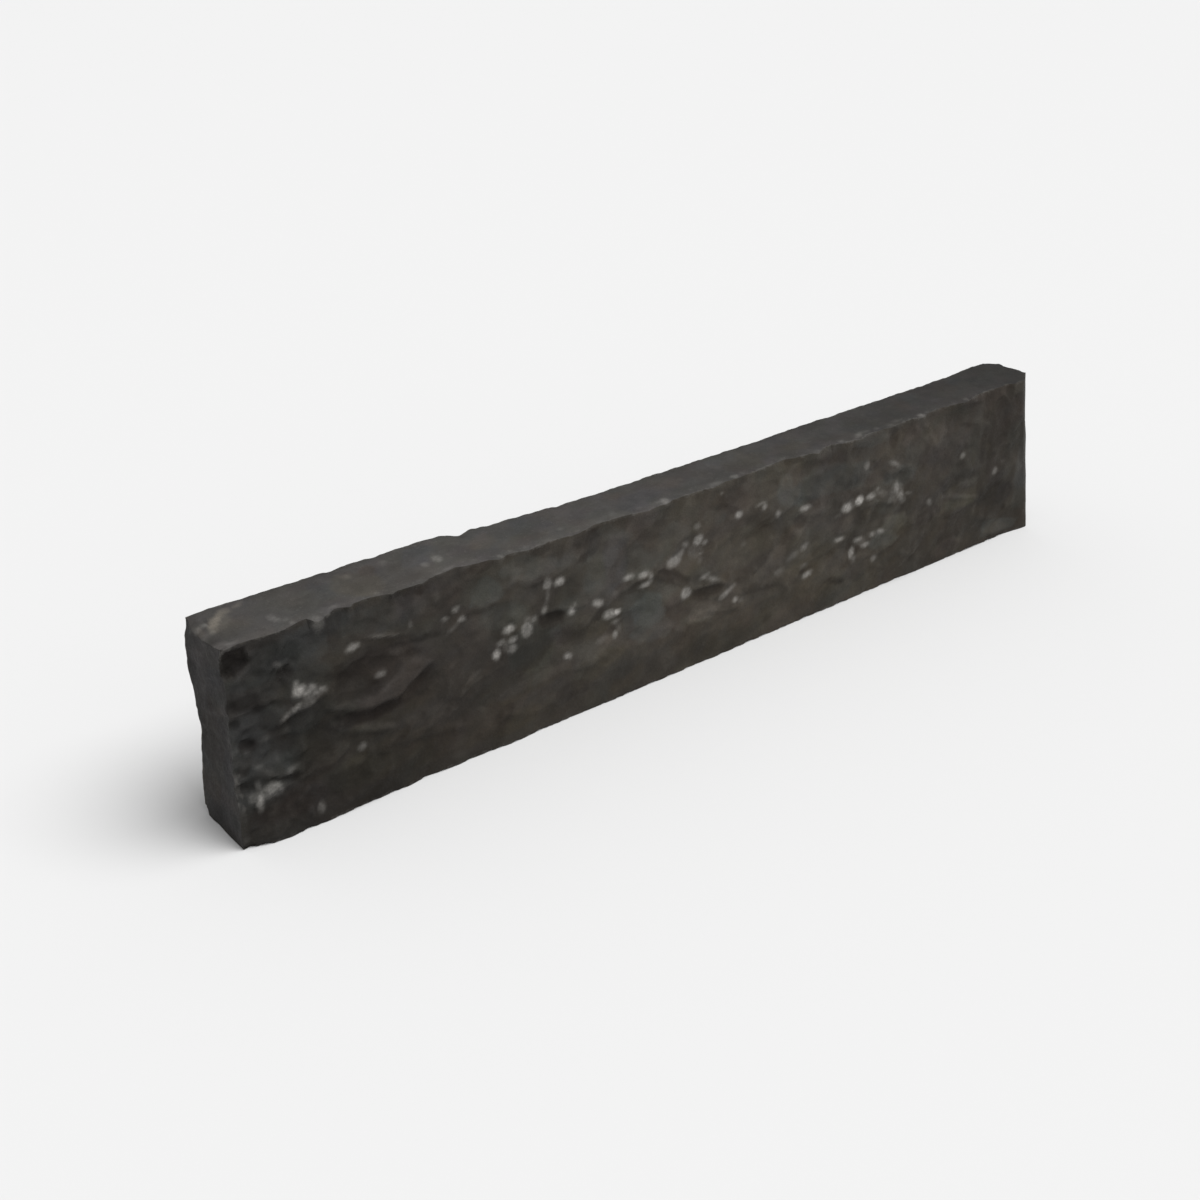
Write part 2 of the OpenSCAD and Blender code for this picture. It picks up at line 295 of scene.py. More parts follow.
# the top front edge seen from above: where the sawn top breaks into the split face
A_LINE = [
    (0, 3), (8, 3), (15, 4), (25, 4), (33, 3), (44, 2), (54, 3), (62, 4.5), (70, 7), (77, 8), (80, 3), (88, 1), (95, 3), (102, 8),
    (109, 7), (114, 3), (120, 7), (130, 8), (142, 6), (150, 4), (153, 1), (160, 4), (172, 3), (184, 2.5), (192, 6), (202, 8), (212, 8),
    (220, 10), (228, 7), (240, 5), (252, 3.5), (260, .5), (270, 3.5), (284, 1), (294, 0), (312, 1), (330, .5), (345, -.5), (358, 2),
    (366, 4), (384, 2.5), (400, 2), (412, 0), (424, -1), (438, -1), (446, 0), (456, 1), (470, 2), (486, 1.5), (506, .5), (520, 2),
    (545, 2), (562, 3), (584, 5), (604, 6.5), (616, 3), (630, 1.5), (644, -1), (654, 3), (668, 6), (676, 2), (690, 0), (702, -1),
    (716, 1), (734, 2), (750, 1), (770, 2), (786, 2), (800, 1), (812, 4), (835, 5), (850, 2), (866, 1), (880, 3), (894, 7), (915, 8),
    (935, 7), (946, 9), (954, 4), (966, 5), (984, 3), (992, 3)]
A_DIP = [(84, 2.6, 5), (263, 1.3, 7), (289, 1.2, 9), (340, 1.0, 12), (424, 1.8, 10), (448, 1.8, 7), (506, 1.2, 8), (540, 1.0, 7),
         (645, 2.0, 6), (683, 1.2, 7), (704, 1.4, 9), (755, 1.2, 8), (800, 1.7, 7), (870, 1.2, 8)]


def arris(u):
    u = u + 0.8 * grain2(u, u * 0, 9, 153)
    return np.interp(u, [p[0] for p in A_LINE], [p[1] for p in A_LINE]) + 0.45 * grain2(u, u * 0, 4.5, 151)


def front_w(u, v):
    vv = np.clip(v, 0, 180)
    fade = 0.28 + 0.72 * smooth(0, 14, 180 - vv)
    foot = 0.4 + 0.6 * smooth(0, 18, vv)
    out = sheet(F_U, F_V, F_OUT, u, vv)
    lu, lv = lean(u, vv, plain_face(u, vv) - (F_EDGE - out))
    x = u + 3.2 * fractal2(u, v, 30, 13, 3)
    y = vv + 2.6 * fractal2(u, v, 30, 17, 3)
    lu, lv = lu + 1.2 * fractal2(u, v, 22, 19, 3), lv + 1.0 * fractal2(u, v, 22, 23, 3)
    wild = 1 + 1.4 * (1 - smooth(40, 78, u)) - 0.3 * smooth(215, 250, u) * (1 - smooth(620, 700, u))
    calm = 1 - 0.45 * smooth(215, 260, u) - 0.15 * smooth(780, 840, u)
    relief = ledges(lu, lv) - calm * bowls(lu, lv, F_BOWLS) - recesses(lu, lv)
    relief = relief + 1.0 * fractal2(u * 0.8 + v * 0.3, v, 40, 3, 2, 0.5)
    steep = smooth(600, 640, u) * (1 - smooth(860, 900, u))
    relief = relief + (1 - steep) * facets(x, y, 30, 1.8, 24, 5, 0.11, 0.40, 0.4) \
        + steep * facets(x, y, 24, 2.0, 56, 6, 0.11, 0.35, 0.4)
    relief = relief + wild * facets(x + y * 0.2, y, 13, 1.6, 30, 7, 0.10, 0.15, 0.3)
    relief = relief + wild * facets(x, y + x * 0.1, 6.0, 1.4, 12, 8, 0.10, 0.08, 0.35)
    out = out + fade * foot * relief * (1 - 0.85 * smooth(958, 986, u))
    w = F_EDGE - out
    cut = spall(u, vv) + 0.12 * fractal2(u, vv, 14, 21, 3) - 0.2
    w = np.maximum(w, cut)
    line = arris(u)
    steep_cut = 0.42 + 0.16 * grain2(u, vv * 0, 22, 155)
    w = w - np.clip(3 - line, 0, 4) * smooth(164, 179, vv)
    return np.where(line > 3.2, np.maximum(w, line - steep_cut * (180 - vv) + 0.25 * fractal2(u, vv, 8, 157, 2)), w)


# -------------------------------------------------------------- back face
B_U = [0, 35, 120, 190, 244, 251, 258, 276, 300, 405, 540, 620, 710, 800, 900, 968, 992]
B_V = [0, 45, 82, 105, 152, 180]
B_W = [
    [64, 68, 69, 70, 70, 69, 68, 68, 66, 64, 63, 64, 66, 67, 69, 70, 68],
    [63.5, 66, 68, 70, 68, 66, 64, 64, 63, 60, 60, 62, 65, 67, 68, 68, 66],
    [60, 61, 64, 66, 65, 63, 61, 62, 60, 57, 58, 60, 63, 66, 67, 66, 63],
    [63, 63, 66, 68, 67, 64, 60, 62, 59, 56, 58, 60, 62, 65, 66, 67, 66],
    [68, 69.5, 70, 70, 70.5, 67, 61, 63.5, 60, 56, 57, 59, 61, 63, 65.5, 69, 69],
    [70.5, 72, 72, 72, 72, 68, 60, 66, 61.5, 57.3, 58.3, 58.8, 61.3, 63.2, 64.6, 70, 70.4]]
B_BOWLS = [
    (90, 120, 60, 26, 15, 4), (180, 60, 60, 30, -20, 4), (340, 50, 70, 28, 10, 4),
    (330, 120, 50, 20, -30, 3), (450, 130, 60, 26, 20, 3), (520, 50, 60, 26, -15, 4),
    (640, 110, 66, 30, 30, 4), (720, 40, 60, 22, 10, 4), (820, 120, 60, 28, -25, 4),
    (900, 50, 50, 26, 20, 3), (40, 40, 34, 18, 20, 3), (250, 150, 40, 18, 10, 3),
    (560, 150, 44, 18, -10, 3), (760, 150, 40, 16, 15, 3), (960, 130, 30, 30, 50, 3)]
B_LEDGES = [
    ([(40, 90), (80, 84), (120, 92), (160, 100)], 16, 3.0), ([(200, 130), (250, 122), (300, 128)], 14, 2.6),
    ([(300, 80), (350, 74), (400, 84), (440, 96)], 16, 3.2), ([(470, 96), (520, 90), (570, 100)], 14, 2.6),
    ([(600, 60), (650, 54), (700, 66), (740, 80)], 15, 3.0), ([(780, 96), (830, 88), (880, 98), (930, 110)], 15, 3.0),
    ([(120, 40), (170, 34), (220, 42)], 13, 2.4), ([(420, 36), (470, 30), (520, 40)], 13, 2.4),
    ([(820, 40), (870, 34), (930, 42)], 13, 2.4)]


# the outline of the near end along its back edge
N_V = [0, 15, 30, 45, 60, 75, 84, 90, 100, 110, 120, 130, 140, 150, 160, 172, 180]
N_W = [64.5, 65.2, 64.2, 63.4, 61.4, 58.4, 57.6, 58.7, 60.6, 62.5, 64.7, 67.2, 68.4, 69, 68.6, 68.8, 71]


def back_w(u, v):
    vv = np.clip(v, 0, 180)
    fade = 0.12 + 0.88 * smooth(0, 22, 180 - vv)
    foot = 0.4 + 0.6 * smooth(0, 18, vv)
    x = u + 3.2 * fractal2(u, v, 30, 53, 3)
    y = vv + 2.6 * fractal2(u, v, 30, 57, 3)
    relief = ledges(x, y, B_LEDGES) - bowls(x, y, B_BOWLS)
    relief = relief + 1.0 * fractal2(u * 0.8 - v * 0.3, v, 40, 51, 2, 0.5)
    relief = relief + facets(x, y, 34, 1.8, -24, 55, 0.17, 1.0, 0.12) + facets(x, y, 13, 1.6, -36, 57, 0.13, 0.32, 0.2)
    relief = relief + facets(x, y, 6.5, 1.4, 10, 58, 0.10, 0.10, 0.3)
    relief = relief * (0.3 + 0.7 * smooth(2, 34, u)) * (0.3 + 0.7 * smooth(2, 34, 992 - u))
    w = sheet(B_U, B_V, B_W, u, vv) + fade * foot * relief
    near = (1 - smooth(0, 24 - 8 * smooth(150, 180, vv), u)) * 0.92
    w = w * (1 - near) + near * (np.interp(vv, N_V, N_W) + 0.3 * fractal2(u, vv, 16, 59, 3))
    # a corner gone at the top of the far end
    w = np.minimum(w, 70 - 1.1 * (u - 981) + (180 - vv) + 0.5 * fractal2(u, vv, 9, 65, 2))
    return np.minimum(w, 71.5 - 0.6 * (u - 981) + 0.1 * (180 - vv) + 0.8 * fractal2(u, vv, 12, 66, 3))


# ------------------------------------------------------------------- ends
L_LEDGES = [([(6, 158), (20, 150), (36, 143), (50, 140)], 9, 1.1), ([(0, 126), (16, 119), (32, 113), (46, 109)], 8, 1.3),
            ([(10, 100), (30, 96), (54, 92)], 9, 0.9), ([(4, 40), (20, 32), (38, 29), (52, 32)], 9, 0.8), ([(24, 70), (40, 64), (56, 60)], 8, 0.7)]


def left_u(w, v):
    vv = np.clip(v, 0, 180)
    t = (w - 3) / 66
    scars = ledges(w, vv, L_LEDGES) * smooth(180, 168, vv) + facets(w, vv, 11, 1.6, -25, 75, 0.05, 0.16, 0.35)
    return (-scars-4.2 * (1 - vv / 180) + 1.4 * t * (1 - vv / 180) + 5 * t * (1 - t) * np.sin(np.radians(vv))
            + 0.7 * fractal2(w, vv, 26, 71, 4, 0.55) + 0.25 * grain2(w, vv * 0.25, 3.2, 73))


def right_u(w, v):
    vv = np.clip(v, 0, 180)
    t = (w - 3) / 66
    return (992 + 3.6 * (1 - vv / 180) - 5 * t * (1 - t) * np.sin(np.radians(vv * 0.9))
            + np.clip(5 * t, 0.1, 1) * (0.8 * fractal2(w, vv, 26, 81, 4, 0.55) - 0.6 * strewn(w * 4, vv, 83, 60, 10, 30, -60, 60, 1, 3, 300)
                                        - facets(w, vv, 15, 1.7, 60, 85, 0.12, 0.5, 0.3)))


# ------------------------------------------------------------ block of points
def spacing(stops):
    """Places along a line: (start, end, step) runs."""
    out = []
    for a, b, step in stops:
        n = max(1, int(round((b - a) / step)))
        out += [a + (b - a) * k / n for k in range(n)]
    return np.array(out + [stops[-1][1]])


us = spacing([(0, 12, 1.4), (12, 210, 1.8), (210, 420, 2.05), (420, 700, 2.3), (700, 950, 2.5), (950, 992, 2.0)])
NU = len(us) - 1
vs = spacing([(0, 6, 1.5), (6, 164, 2.0), (164, 180, 1.45)])
NV = len(vs) - 1
vb = spacing([(0, 8, 2.0), (8, 168, 2.9), (168, 180, 2.0)])
NB = len(vb) - 1
across = np.array([0, .012, .03, .055, .085, .12, .16, .205, .26, .32, .38, .45, .52, .59, .66, .73, .80, .86, .92, .96, .985, 1])
NW = len(across) - 1
across_low = np.array([0, .02, .08, .2, .35, .5, .65, .8, .92, .98, 1])
NL = len(across_low) - 1

U, V = np.meshgrid(us, vs, indexing="ij")
front = front_w(U, V)
Ub, Vb = np.meshgrid(us, vb, indexing="ij")
back = back_w(Ub, Vb)


def place(i, v, w):
    """Points of ring i, with the ends' own shape on the first and last ring."""
    u = np.full_like(v, us[i])
    if i == 0:
        u = left_u(w, v)
    elif i == NU:
        u = right_u(w, v)
    return np.stack([u, w, v], -1)


# the long top edges are a little crushed: they dip and wander
dip_f = np.clip(0.15 + 0.55 * fractal2(us, us * 0, 13, 61, 3, 0.6), 0.0, 1.2)
for at, deep, wide in A_DIP:
    dip_f = np.maximum(dip_f, deep * np.exp(-((us - at) / wide) ** 2))
dip_b = np.clip(0.45 + 1.0 * fractal2(us, us * 0, 21, 63, 3, 0.6), 0.0, 2.4) * smooth(0, 44, us)


def worn(u, w):
    """How far the top falls away at the worn edge of the near end."""
    deep = np.interp(w, [4, 14, 30, 50, 57, 64], [0, 1.6, 3.0, 4.8, 2.6, 0.2])
    return deep * np.clip(1 - np.maximum(u, 0) / 8.5, 0, 1) ** 2 * (1 + 0.2 * grain2(w, w * 0, 11, 159))


NR = NV + NW + NB + NL
points, region = [], []
for i in range(NU + 1):
    f, b = front[i], back[i]
    vf, vk = vs - dip_f[i] * np.clip((vs - 172) / 8, 0, 1), vb - dip_b[i] * np.clip((vb - 172) / 8, 0, 1)
    top = f[-1] + (b[-1] - f[-1]) * across[1:-1]
    low = f[0] + (b[0] - f[0]) * across_low[1:-1]
    vt = 180 - dip_f[i] * np.exp(-(top - f[-1]) / 2.2) - dip_b[i] * np.exp(-(b[-1] - top) / 2.2)
    vt = vt - 0.22 * np.clip(1 + fractal2(us[i] + top * 0, top, 26, 67, 3), 0, 2) - worn(us[i], top)
    points += [place(i, vf, f), place(i, vt, top),
               place(i, vk[::-1], b[::-1]), place(i, np.zeros(NL - 1), low[::-1])]
ring_region = np.concatenate([np.zeros(NV + 1), np.ones(NW - 1), np.full(NB + 1, 2), np.full(NL - 1, 3)])
region = np.tile(ring_region, NU + 1)
# the ends' own grids, set in from their rims
vc = spacing([(0, 8, 2.0), (8, 172, 2.3), (172, 180, 1.6)])[1:-1]
wc = np.linspace(0, 1, 28)[1:-1]
cap_base = []
for i in (0, NU):
    cap_base.append(sum(len(p) for p in points))
    f, b = np.interp(vc, vs, front[i]), np.interp(vc, vb, back[i])
    w = f[:, None] + (b - f)[:, None] * wc[None, :]
    v = np.repeat(vc[:, None], len(wc), 1)
    if i == 0:
        v = v * (1 - worn(0.0, w) / 180)
    points.append(place(i, v.ravel(), w.ravel()))
    region = np.concatenate([region, np.full(w.size, 4 if i == 0 else 5)])
P = np.concatenate(points)

# chips along the edges: a ball or egg of stone gone, cut along a slanting way in
rng = np.random.RandomState(5)


def chip(P, c, r, d, limit=None):
    """Moves the points inside the egg (centre c, half sizes r) along d to its far side."""
    near = np.abs(P - c) < r
    sel = np.where(near.all(1))[0]
    if not len(sel):
        return
    q = (P[sel] - c) / r
    e = np.array(d, float) / r
    inside = (q * q).sum(1) < 1
    sel, q = sel[inside], q[inside]
    if not len(sel):
        return
    A, B, C = (e * e).sum(), 2 * (q * e).sum(1), (q * q).sum(1) - 1
    t = (-B + np.sqrt(np.maximum(B * B - 4 * A * C, 0))) / (2 * A)
    if limit:
        t = np.minimum(t, limit)
    P[sel] += t[:, None] * np.array(d, float)


def unit(*d):
    d = np.array(d, float)
    return d / np.linalg.norm(d)


edge_w = lambda i: front[i, -1]
# top front edge
u = 2.0
while u < 985:
    size = rng.choice([rng.uniform(2, 3.5), rng.uniform(3.5, 6), rng.uniform(6, 9)], p=[0.5, 0.35, 0.15])
    i = int(np.clip(np.searchsorted(us, u), 0, NU))
    chip(P, np.array([u, edge_w(i) - 0.12 * size - 0.6, 180 + 0.22 * size]), np.array([size, size * 0.3 + 0.8, size * 0.36]), unit(0, 1, -1))
    u += rng.uniform(6.0, 20.0)
# top back edge
u = 2.0
while u < 990:
    size = rng.choice([rng.uniform(3, 5), rng.uniform(5, 8), rng.uniform(7, 10)], p=[0.55, 0.35, 0.1])
    i = int(np.clip(np.searchsorted(us, u), 0, NU))
    if u > 26:
        chip(P, np.array([u, back[i, -1] + 0.12 * size + 0.6, 180 + 0.25 * size]), np.array([size, size * 0.3 + 0.8, size * 0.36]), unit(0, -1, -1))
    u += rng.uniform(8.0, 30.0)
# bottom edges
for side, way in ((front, 1), (back, -1)):
    u = 2.0
    while u < (966 if way > 0 else 990):
        size = rng.choice([rng.uniform(3, 5), rng.uniform(5, 9), rng.uniform(8, 13)], p=[0.5, 0.35, 0.15])
        i = int(np.clip(np.searchsorted(us, u), 0, NU))
        chip(P, np.array([u, side[i, 0] - way * 0.2 * size, -0.2 * size]), np.array([size, size * 0.4, size * 0.4]), unit(0, way, 1))
        u += rng.uniform(6.0, 24.0)
# upright edges of the ends
for i, way in ((0, 1), (NU, -1)):
    for side, inward in ((front, 1), (back, -1)):
        v = 3.0
        while v < 176:
            size = rng.choice([rng.uniform(1.5, 3), rng.uniform(2.5, 5), rng.uniform(5, 9)], p=[0.6, 0.28, 0.12])
            rows = vs if inward > 0 else vb
            k = int(np.clip(np.searchsorted(rows, v), 0, len(rows) - 1))
            ue = 0.0 if i == 0 else 992.0
            if i and inward > 0:
                size = min(size * 0.5, 1.5)
            size = min(size, 3.0 if inward < 0 else 4.5)
            chip(P, np.array([ue - way * 0.12 * size, side[i, k] - inward * 0.12 * size, v]),
                 np.array([size * 0.26, size * 0.26, size]), unit(way, inward, 0))
            v += rng.uniform(5.0, 26.0)
# ends' top and bottom edges
for i, way in ((0, 1), (NU, -1)):
    for vz, up in ((180.0, -1), (0.0, 1)):
        w = front[i, -1 if vz else 0] + 2
        while w < back[i, -1 if vz else 0] - 2:
            size = rng.uniform(1.5, 4)
            if i and w < front[i, 0] + 12:
                w += 4
                continue
            chip(P, np.array([(0.0 if i == 0 else 992.0) - way * 0.3 * size, w, vz - up * 0.3 * size]),
                 np.array([size * 0.5, size, size * 0.5]), unit(way, 0, up))
            w += rng.uniform(3.0, 9.0)
# larger named chips at the near front corner
for c, r in (((1, 0, 129), (5, 3.5, 5)), ((0, -2, 116), (4, 3, 3.5)), ((1, -5, 70), (5, 4, 4)), ((1, -6, 54), (5, 4, 4)),
             ((0, -7, 1), (7, 5, 4)), ((9, -10, 0), (10, 4, 3)), ((995, 66, 150), (3, 4, 6)),
             ((-5, 67, -2), (11, 8, 10)), ((-1, 2, 180.5), (3.5, 3, 3))):
    chip(P, np.array(c, float), np.array(r, float), unit(0.7, 1, 0) if c[1] < 30 else unit(-0.8, -0.9, -0.4) if c[0] > 900 else unit(0.6, -0.8, 0.8))

# the teeth left between the chips of the near front edge are worn blunt
for i, passes in ((0, 3), (1, 2), (2, 1)):
    for _ in range(passes):
        k = i * NR + np.arange(2, NV - 2)
        P[k] = (P[k - 1] + 2 * P[k] + P[k + 1]) / 4

# ------------------------------------------------------------------- faces
a = (np.arange(NU)[:, None] * NR + np.arange(NR)[None, :])
b = (np.arange(NU)[:, None] * NR + (np.arange(NR)[None, :] + 1) % NR)
quads = np.stack([a, a + NR, b + NR, b], -1).reshape(-1, 4)


def zipped(outer, inner, t_out, t_in):
    """Triangles between two lines of points that run the same way."""
    i = j = 0
    tris = []
    while i < len(outer) - 1 or j < len(inner) - 1:
        if j == len(inner) - 1 or (i < len(outer) - 1 and t_out[i + 1] <= t_in[j + 1]):
            tris.append((outer[i], outer[i + 1], inner[j]))
            i += 1
        else:
            tris.append((outer[i], inner[j + 1], inner[j]))
            j += 1
    return tris


KC, JC = len(vc), len(wc)
cap_quads, cap_tris = [], []
for i, base, way in ((0, cap_base[0], -1), (NU, cap_base[1], 1)):
    grid = base + np.arange(KC * JC).reshape(KC, JC)
    q = np.stack([grid[:-1, :-1], grid[:-1, 1:], grid[1:, 1:], grid[1:, :-1]], -1).reshape(-1, 4)
    cap_quads.append(q if way > 0 else q[:, ::-1])
    ring = i * NR + np.arange(NR)
    tris = zipped(ring[:NV + 1], grid[:, 0], vs / 180, vc / 180)
    tris += zipped(ring[NV:NV + NW + 1], grid[-1], across, wc)
    tris += zipped(ring[NV + NW:NV + NW + NB + 1], grid[::-1, -1], 1 - vb[::-1] / 180, 1 - vc[::-1] / 180)
    tris += zipped(np.append(ring[NV + NW + NB:], ring[0]), grid[0, ::-1], 1 - across_low[::-1], 1 - wc[::-1])
    t = np.array(tris)
    w3, v3 = P[t, 1], P[t, 2]
    side = (w3[:, 1] - w3[:, 0]) * (v3[:, 2] - v3[:, 0]) - (w3[:, 2] - w3[:, 0]) * (v3[:, 1] - v3[:, 0])
    if side.sum() * way < 0:
        t = t[:, ::-1]
    cap_tris.append(t)
quads = np.concatenate([quads] + cap_quads)
tris = np.concatenate(cap_tris)

# the top back corner of the near end is knocked blunt
blunt = smooth(52, 68, P[:, 1]) * smooth(164, 180, P[:, 2]) * (1 - smooth(0, 14, P[:, 0]))
P[:, 0] += 4.2 * blunt
P[:, 2] -= 0.6 * blunt

# keep inside the stone's overall sizes
lo, hi = cad_box
P[:, 0] = np.clip(P[:, 0], lo.x * 1000 + U0, hi.x * 1000 + U0)
P[:, 1] = np.clip(P[:, 1], lo.y * 1000 + W0, hi.y * 1000 + W0)
P[:, 2] = np.clip(P[:, 2], lo.z * 1000, hi.z * 1000)

mesh = bpy.data.meshes.new("edging_stone_split")
verts = (P - np.array([U0, W0, 0])) / 1000.0
mesh.vertices.add(len(verts))
mesh.vertices.foreach_set("co", verts.astype(np.float32).ravel())
mesh.loops.add(quads.size + tris.size)
mesh.loops.foreach_set("vertex_index", np.concatenate([quads.ravel(), tris.ravel()]).astype(np.int32))
mesh.polygons.add(len(quads) + len(tris))
mesh.polygons.foreach_set("loop_start", np.concatenate([np.arange(0, quads.size, 4), quads.size + np.arange(0, tris.size, 3)]).astype(np.int32))
mesh.update(calc_edges=True)
mesh.validate()


# -------------------------------------------------- fields that drive colour
def put(name, values):
    att = mesh.attributes.new(name, "FLOAT", "POINT")
    att.data.foreach_set("value", np.asarray(values, np.float32))


pu, pw, pv = P[:, 0], P[:, 1], P[:, 2]
is_front = (region == 0) & (pv < 179.9)
is_back = region == 2

def patches(items, x, z):
    total = np.zeros_like(x)
    for cx, cz, a, b, turn, amount in items:
        p, q = turned(x, z, cx, cz, a, b, turn)
        total = np.maximum(total, amount * np.clip(1.7 * (1.3 - (p * p + q * q)), 0, 1))
    return total


# pale mineral spots on the front: (u, v, half length, half height, turn, brightness)
SPOTS = [
    (60, 124, 6.5, 5, 10, .95), (71, 123.5, 5, 3, 0, .8), (80, 119, 5.5, 2.8, -28, .65), (58, 130, 3.2, 4.5, 0, .75),
    (68, 112, 7, 5, 10, .35), (56, 110.5, 6, 2.6, 22, .75), (46, 106, 6.5, 2.2, 30, .6), (112, 145, 7, 3.4, 14, .78),
    (135, 113, 5.5, 3.2, 0, .58), (137, 146.5, 8, 2.2, -14, .5), (149, 143, 7, 1.8, -16, .42),
    (168, 147, 2.4, 3, 0, .45), (45, 151.5, 4.6, 2.2, -42, .55), (84, 174, 5.5, 6, 0, .42),
    (14.5, 41, 3.4, 9, -10, .95), (19, 45.5, 13, 5, -8, .5), (26, 49.5, 8, 5, -12, .75), (8.5, 44.5, 4, 4.6, 0, .5), (24, 48, 7, 4.2, -20, .75), (32, 45.5, 3.6, 3, 0, .6),
    (14.5, 55, 2.4, 5, 0, .6), (16, 71.5, 4.5, 2.6, 0, .4), (44, 59, 6.5, 2.6, 20, .45),
    (110, 54.5, 4.4, 3.8, 0, .5), (66, 15, 3.6, 6, 0, .5), (26, 94, 4, 3, 0, .28), (5, 76, 4, 3, 0, .3),
    (202, 141, 4, 2, -10, .7), (213, 146.5, 4, 2.4, 10, .8), (218, 135.5, 4, 3, 20, .9), (209, 130, 7, 2.2, 26, .5),
    (266, 110.5, 6.8, 4, 0, 1.0), (256, 100.5, 4.5, 3.2, 10, .72), (251, 91, 4.2, 5.2, 0, 1.0),
    (269, 99, 5, 3.4, 0, .85), (268, 91, 5.4, 4.4, 0, .64), (261, 96, 4, 6, 0, .4), (285, 104, 6.4, 7.4, 0, .72), (293, 111, 3.6, 3, 0, .7),
    (287, 113, 5, 2.6, 0, .5), (310, 140, 5, 5, 0, .75), (323, 138, 6, 4, 0, 1.0), (309, 128, 2.6, 8, -12, .45),
    (305, 116, 3.4, 4.2, 0, .68), (335, 105.5, 4.4, 4, 0, .95), (339, 111, 1.8, 2.2, 0, .7),
    (365, 104, 6.8, 4, -22, .95), (378, 88, 8, 5, -8, .85), (387, 88, 4.4, 3.2, 0, 1.35), (385, 79, 5, 3.4, 0, .6),
    (384, 66, 3.2, 4.2, 0, .8), (388, 72, 3, 6, 20, .42), (328, 63, 5, 2.8, -24, 1.0), (368, 66, 8, 3.4, 10, .35), (387, 107, 5, 3, 0, .35),
    (402, 118, 6.5, 2.8, 0, 1.0), (420, 115, 6.5, 3.4, 0, .95), (422, 104.5, 7, 2.8, 5, 1.0),
    (429, 110, 3.2, 5.6, 0, .8), (457, 117, 9, 5.4, 5, .8), (466, 123, 5, 3.4, 40, .6), (472, 130, 4.6, 2.8, -30, .7),
    (488, 130, 6.2, 5, 0, 1.0), (496, 125.5, 3.8, 2.8, 0, .9), (487, 144.5, 4.4, 3.4, 0, .62),
    (490, 116, 4.6, 2.2, 0, .55), (490, 109, 3, 4.4, 0, .35), (472, 80.5, 6.4, 5.6, -10, .95),
    (469, 76, 4, 2.6, 0, .6), (496, 90, 6.4, 2.6, 6, .8), (506, 84.5, 9, 2.6, -24, .68), (523, 63, 8.5, 3.4, 22, .8),
    (532, 68, 4.6, 2.6, 20, .7), (536, 53, 4, 3.2, 0, .95), (544, 50, 4, 3, 0, .4), (541, 141, 5, 3.8, -10, 1.0),
    (570, 144, 6.8, 2, 5, .75), (575.5, 139.5, 3, 3.4, 0, .95), (594, 127, 4.2, 3.4, -20, .8),
    (547, 109, 3.6, 3.4, 0, .3), (518, 169, 2.2, 1.8, 0, .6), (596, 64, 7, 4, 0, .4), (632, 123, 8, 3.2, -4, 1.0),
    (693, 106, 8, 5.2, -4, 1.0), (711, 109, 5.8, 5, 0, 1.3), (728, 109, 7.5, 3.6, -4, .9),
    (738, 114, 3.6, 2.4, 0, .7), (745, 106.5, 9, 2.2, -36, .5), (680, 101, 5.5, 2.8, -10, .4),
    (768, 107, 4.4, 8.5, 14, .75), (775, 97, 4.6, 6.4, 20, .75), (786, 97, 7.5, 1.7, -12, .6),
    (759, 97, 4, 5, 0, .4), (778, 91, 5, 4.4, 0, .5), (720, 145, 4.2, 4.4, 0, .65), (762, 136, 10, 2.6, -26, .72),
    (705, 122, 6, 1.4, -10, .3), (683, 74, 7.5, 2.9, -6, .88), (632, 81, 6.4, 3.8, 20, .6), (616, 76, 9, 3.6, 14, .42), (637, 49, 7.4, 3.6, 12, .85),
    (632, 60, 5.6, 2.6, 0, .5), (712, 65, 7, 3.4, -10, .82), (702, 53, 4.2, 6.8, 0, .85), (706, 46, 4, 4, 0, .5), (723, 56, 6.6, 3.2, -8, .88),
    (734, 65, 5.4, 3.0, -10, .78), (746, 65, 6.4, 3.0, -16, .92), (737, 36.5, 4.4, 4, 0, .7), (706, 44, 4, 5, 0, .35),
    (66, 121, 6, 4, -10, .72), (75, 118, 6, 3, -25, .66), (768, 103, 10, 11, 10, .36), (744, 109, 12, 4, -25, .42), (700, 108, 12, 6, 0, .36), (615, 75, 9, 4, 10, .34),
    (740, 64, 12, 4, -8, .42), (716, 62, 9, 5, -10, .36), (484, 120, 10, 8, -40, .34), (873, 117, 4.4, 4, 0, .62), (822.5, 77, 5.4, 3.2, -36, .66), (932, 84, 5, 4.6, 0, .62), (944, 92, 5, 2, 0, .25)]
n = len(P)
spot = np.zeros(n)
fu, fv = lean(pu[is_front], pv[is_front], plain_face(pu[is_front], pv[is_front]) - pw[is_front])
wu = fu + 0.9 * grain2(fu, fv, 5, 101)
wv = fv + 0.8 * grain2(fu, fv, 5, 103)


def flecks(items, x, z, share=1.0):
    """Strength of soft-edged flecks, strongest in the middle of each."""
    total = np.zeros_like(x)
    for cx, cz, ra, rb, turn, level in items:
        p, q = turned(x, z, cx, cz, ra, rb, turn)
        depth = (1.12 - np.sqrt(p * p + q * q)) * min(ra, rb) / 3.0
        total = np.maximum(total, 0.6 * (level * share) ** 1.7 * smooth(-0.38, 1.1, depth))
    return total


spot[is_front] = flecks(SPOTS, wu, wv)
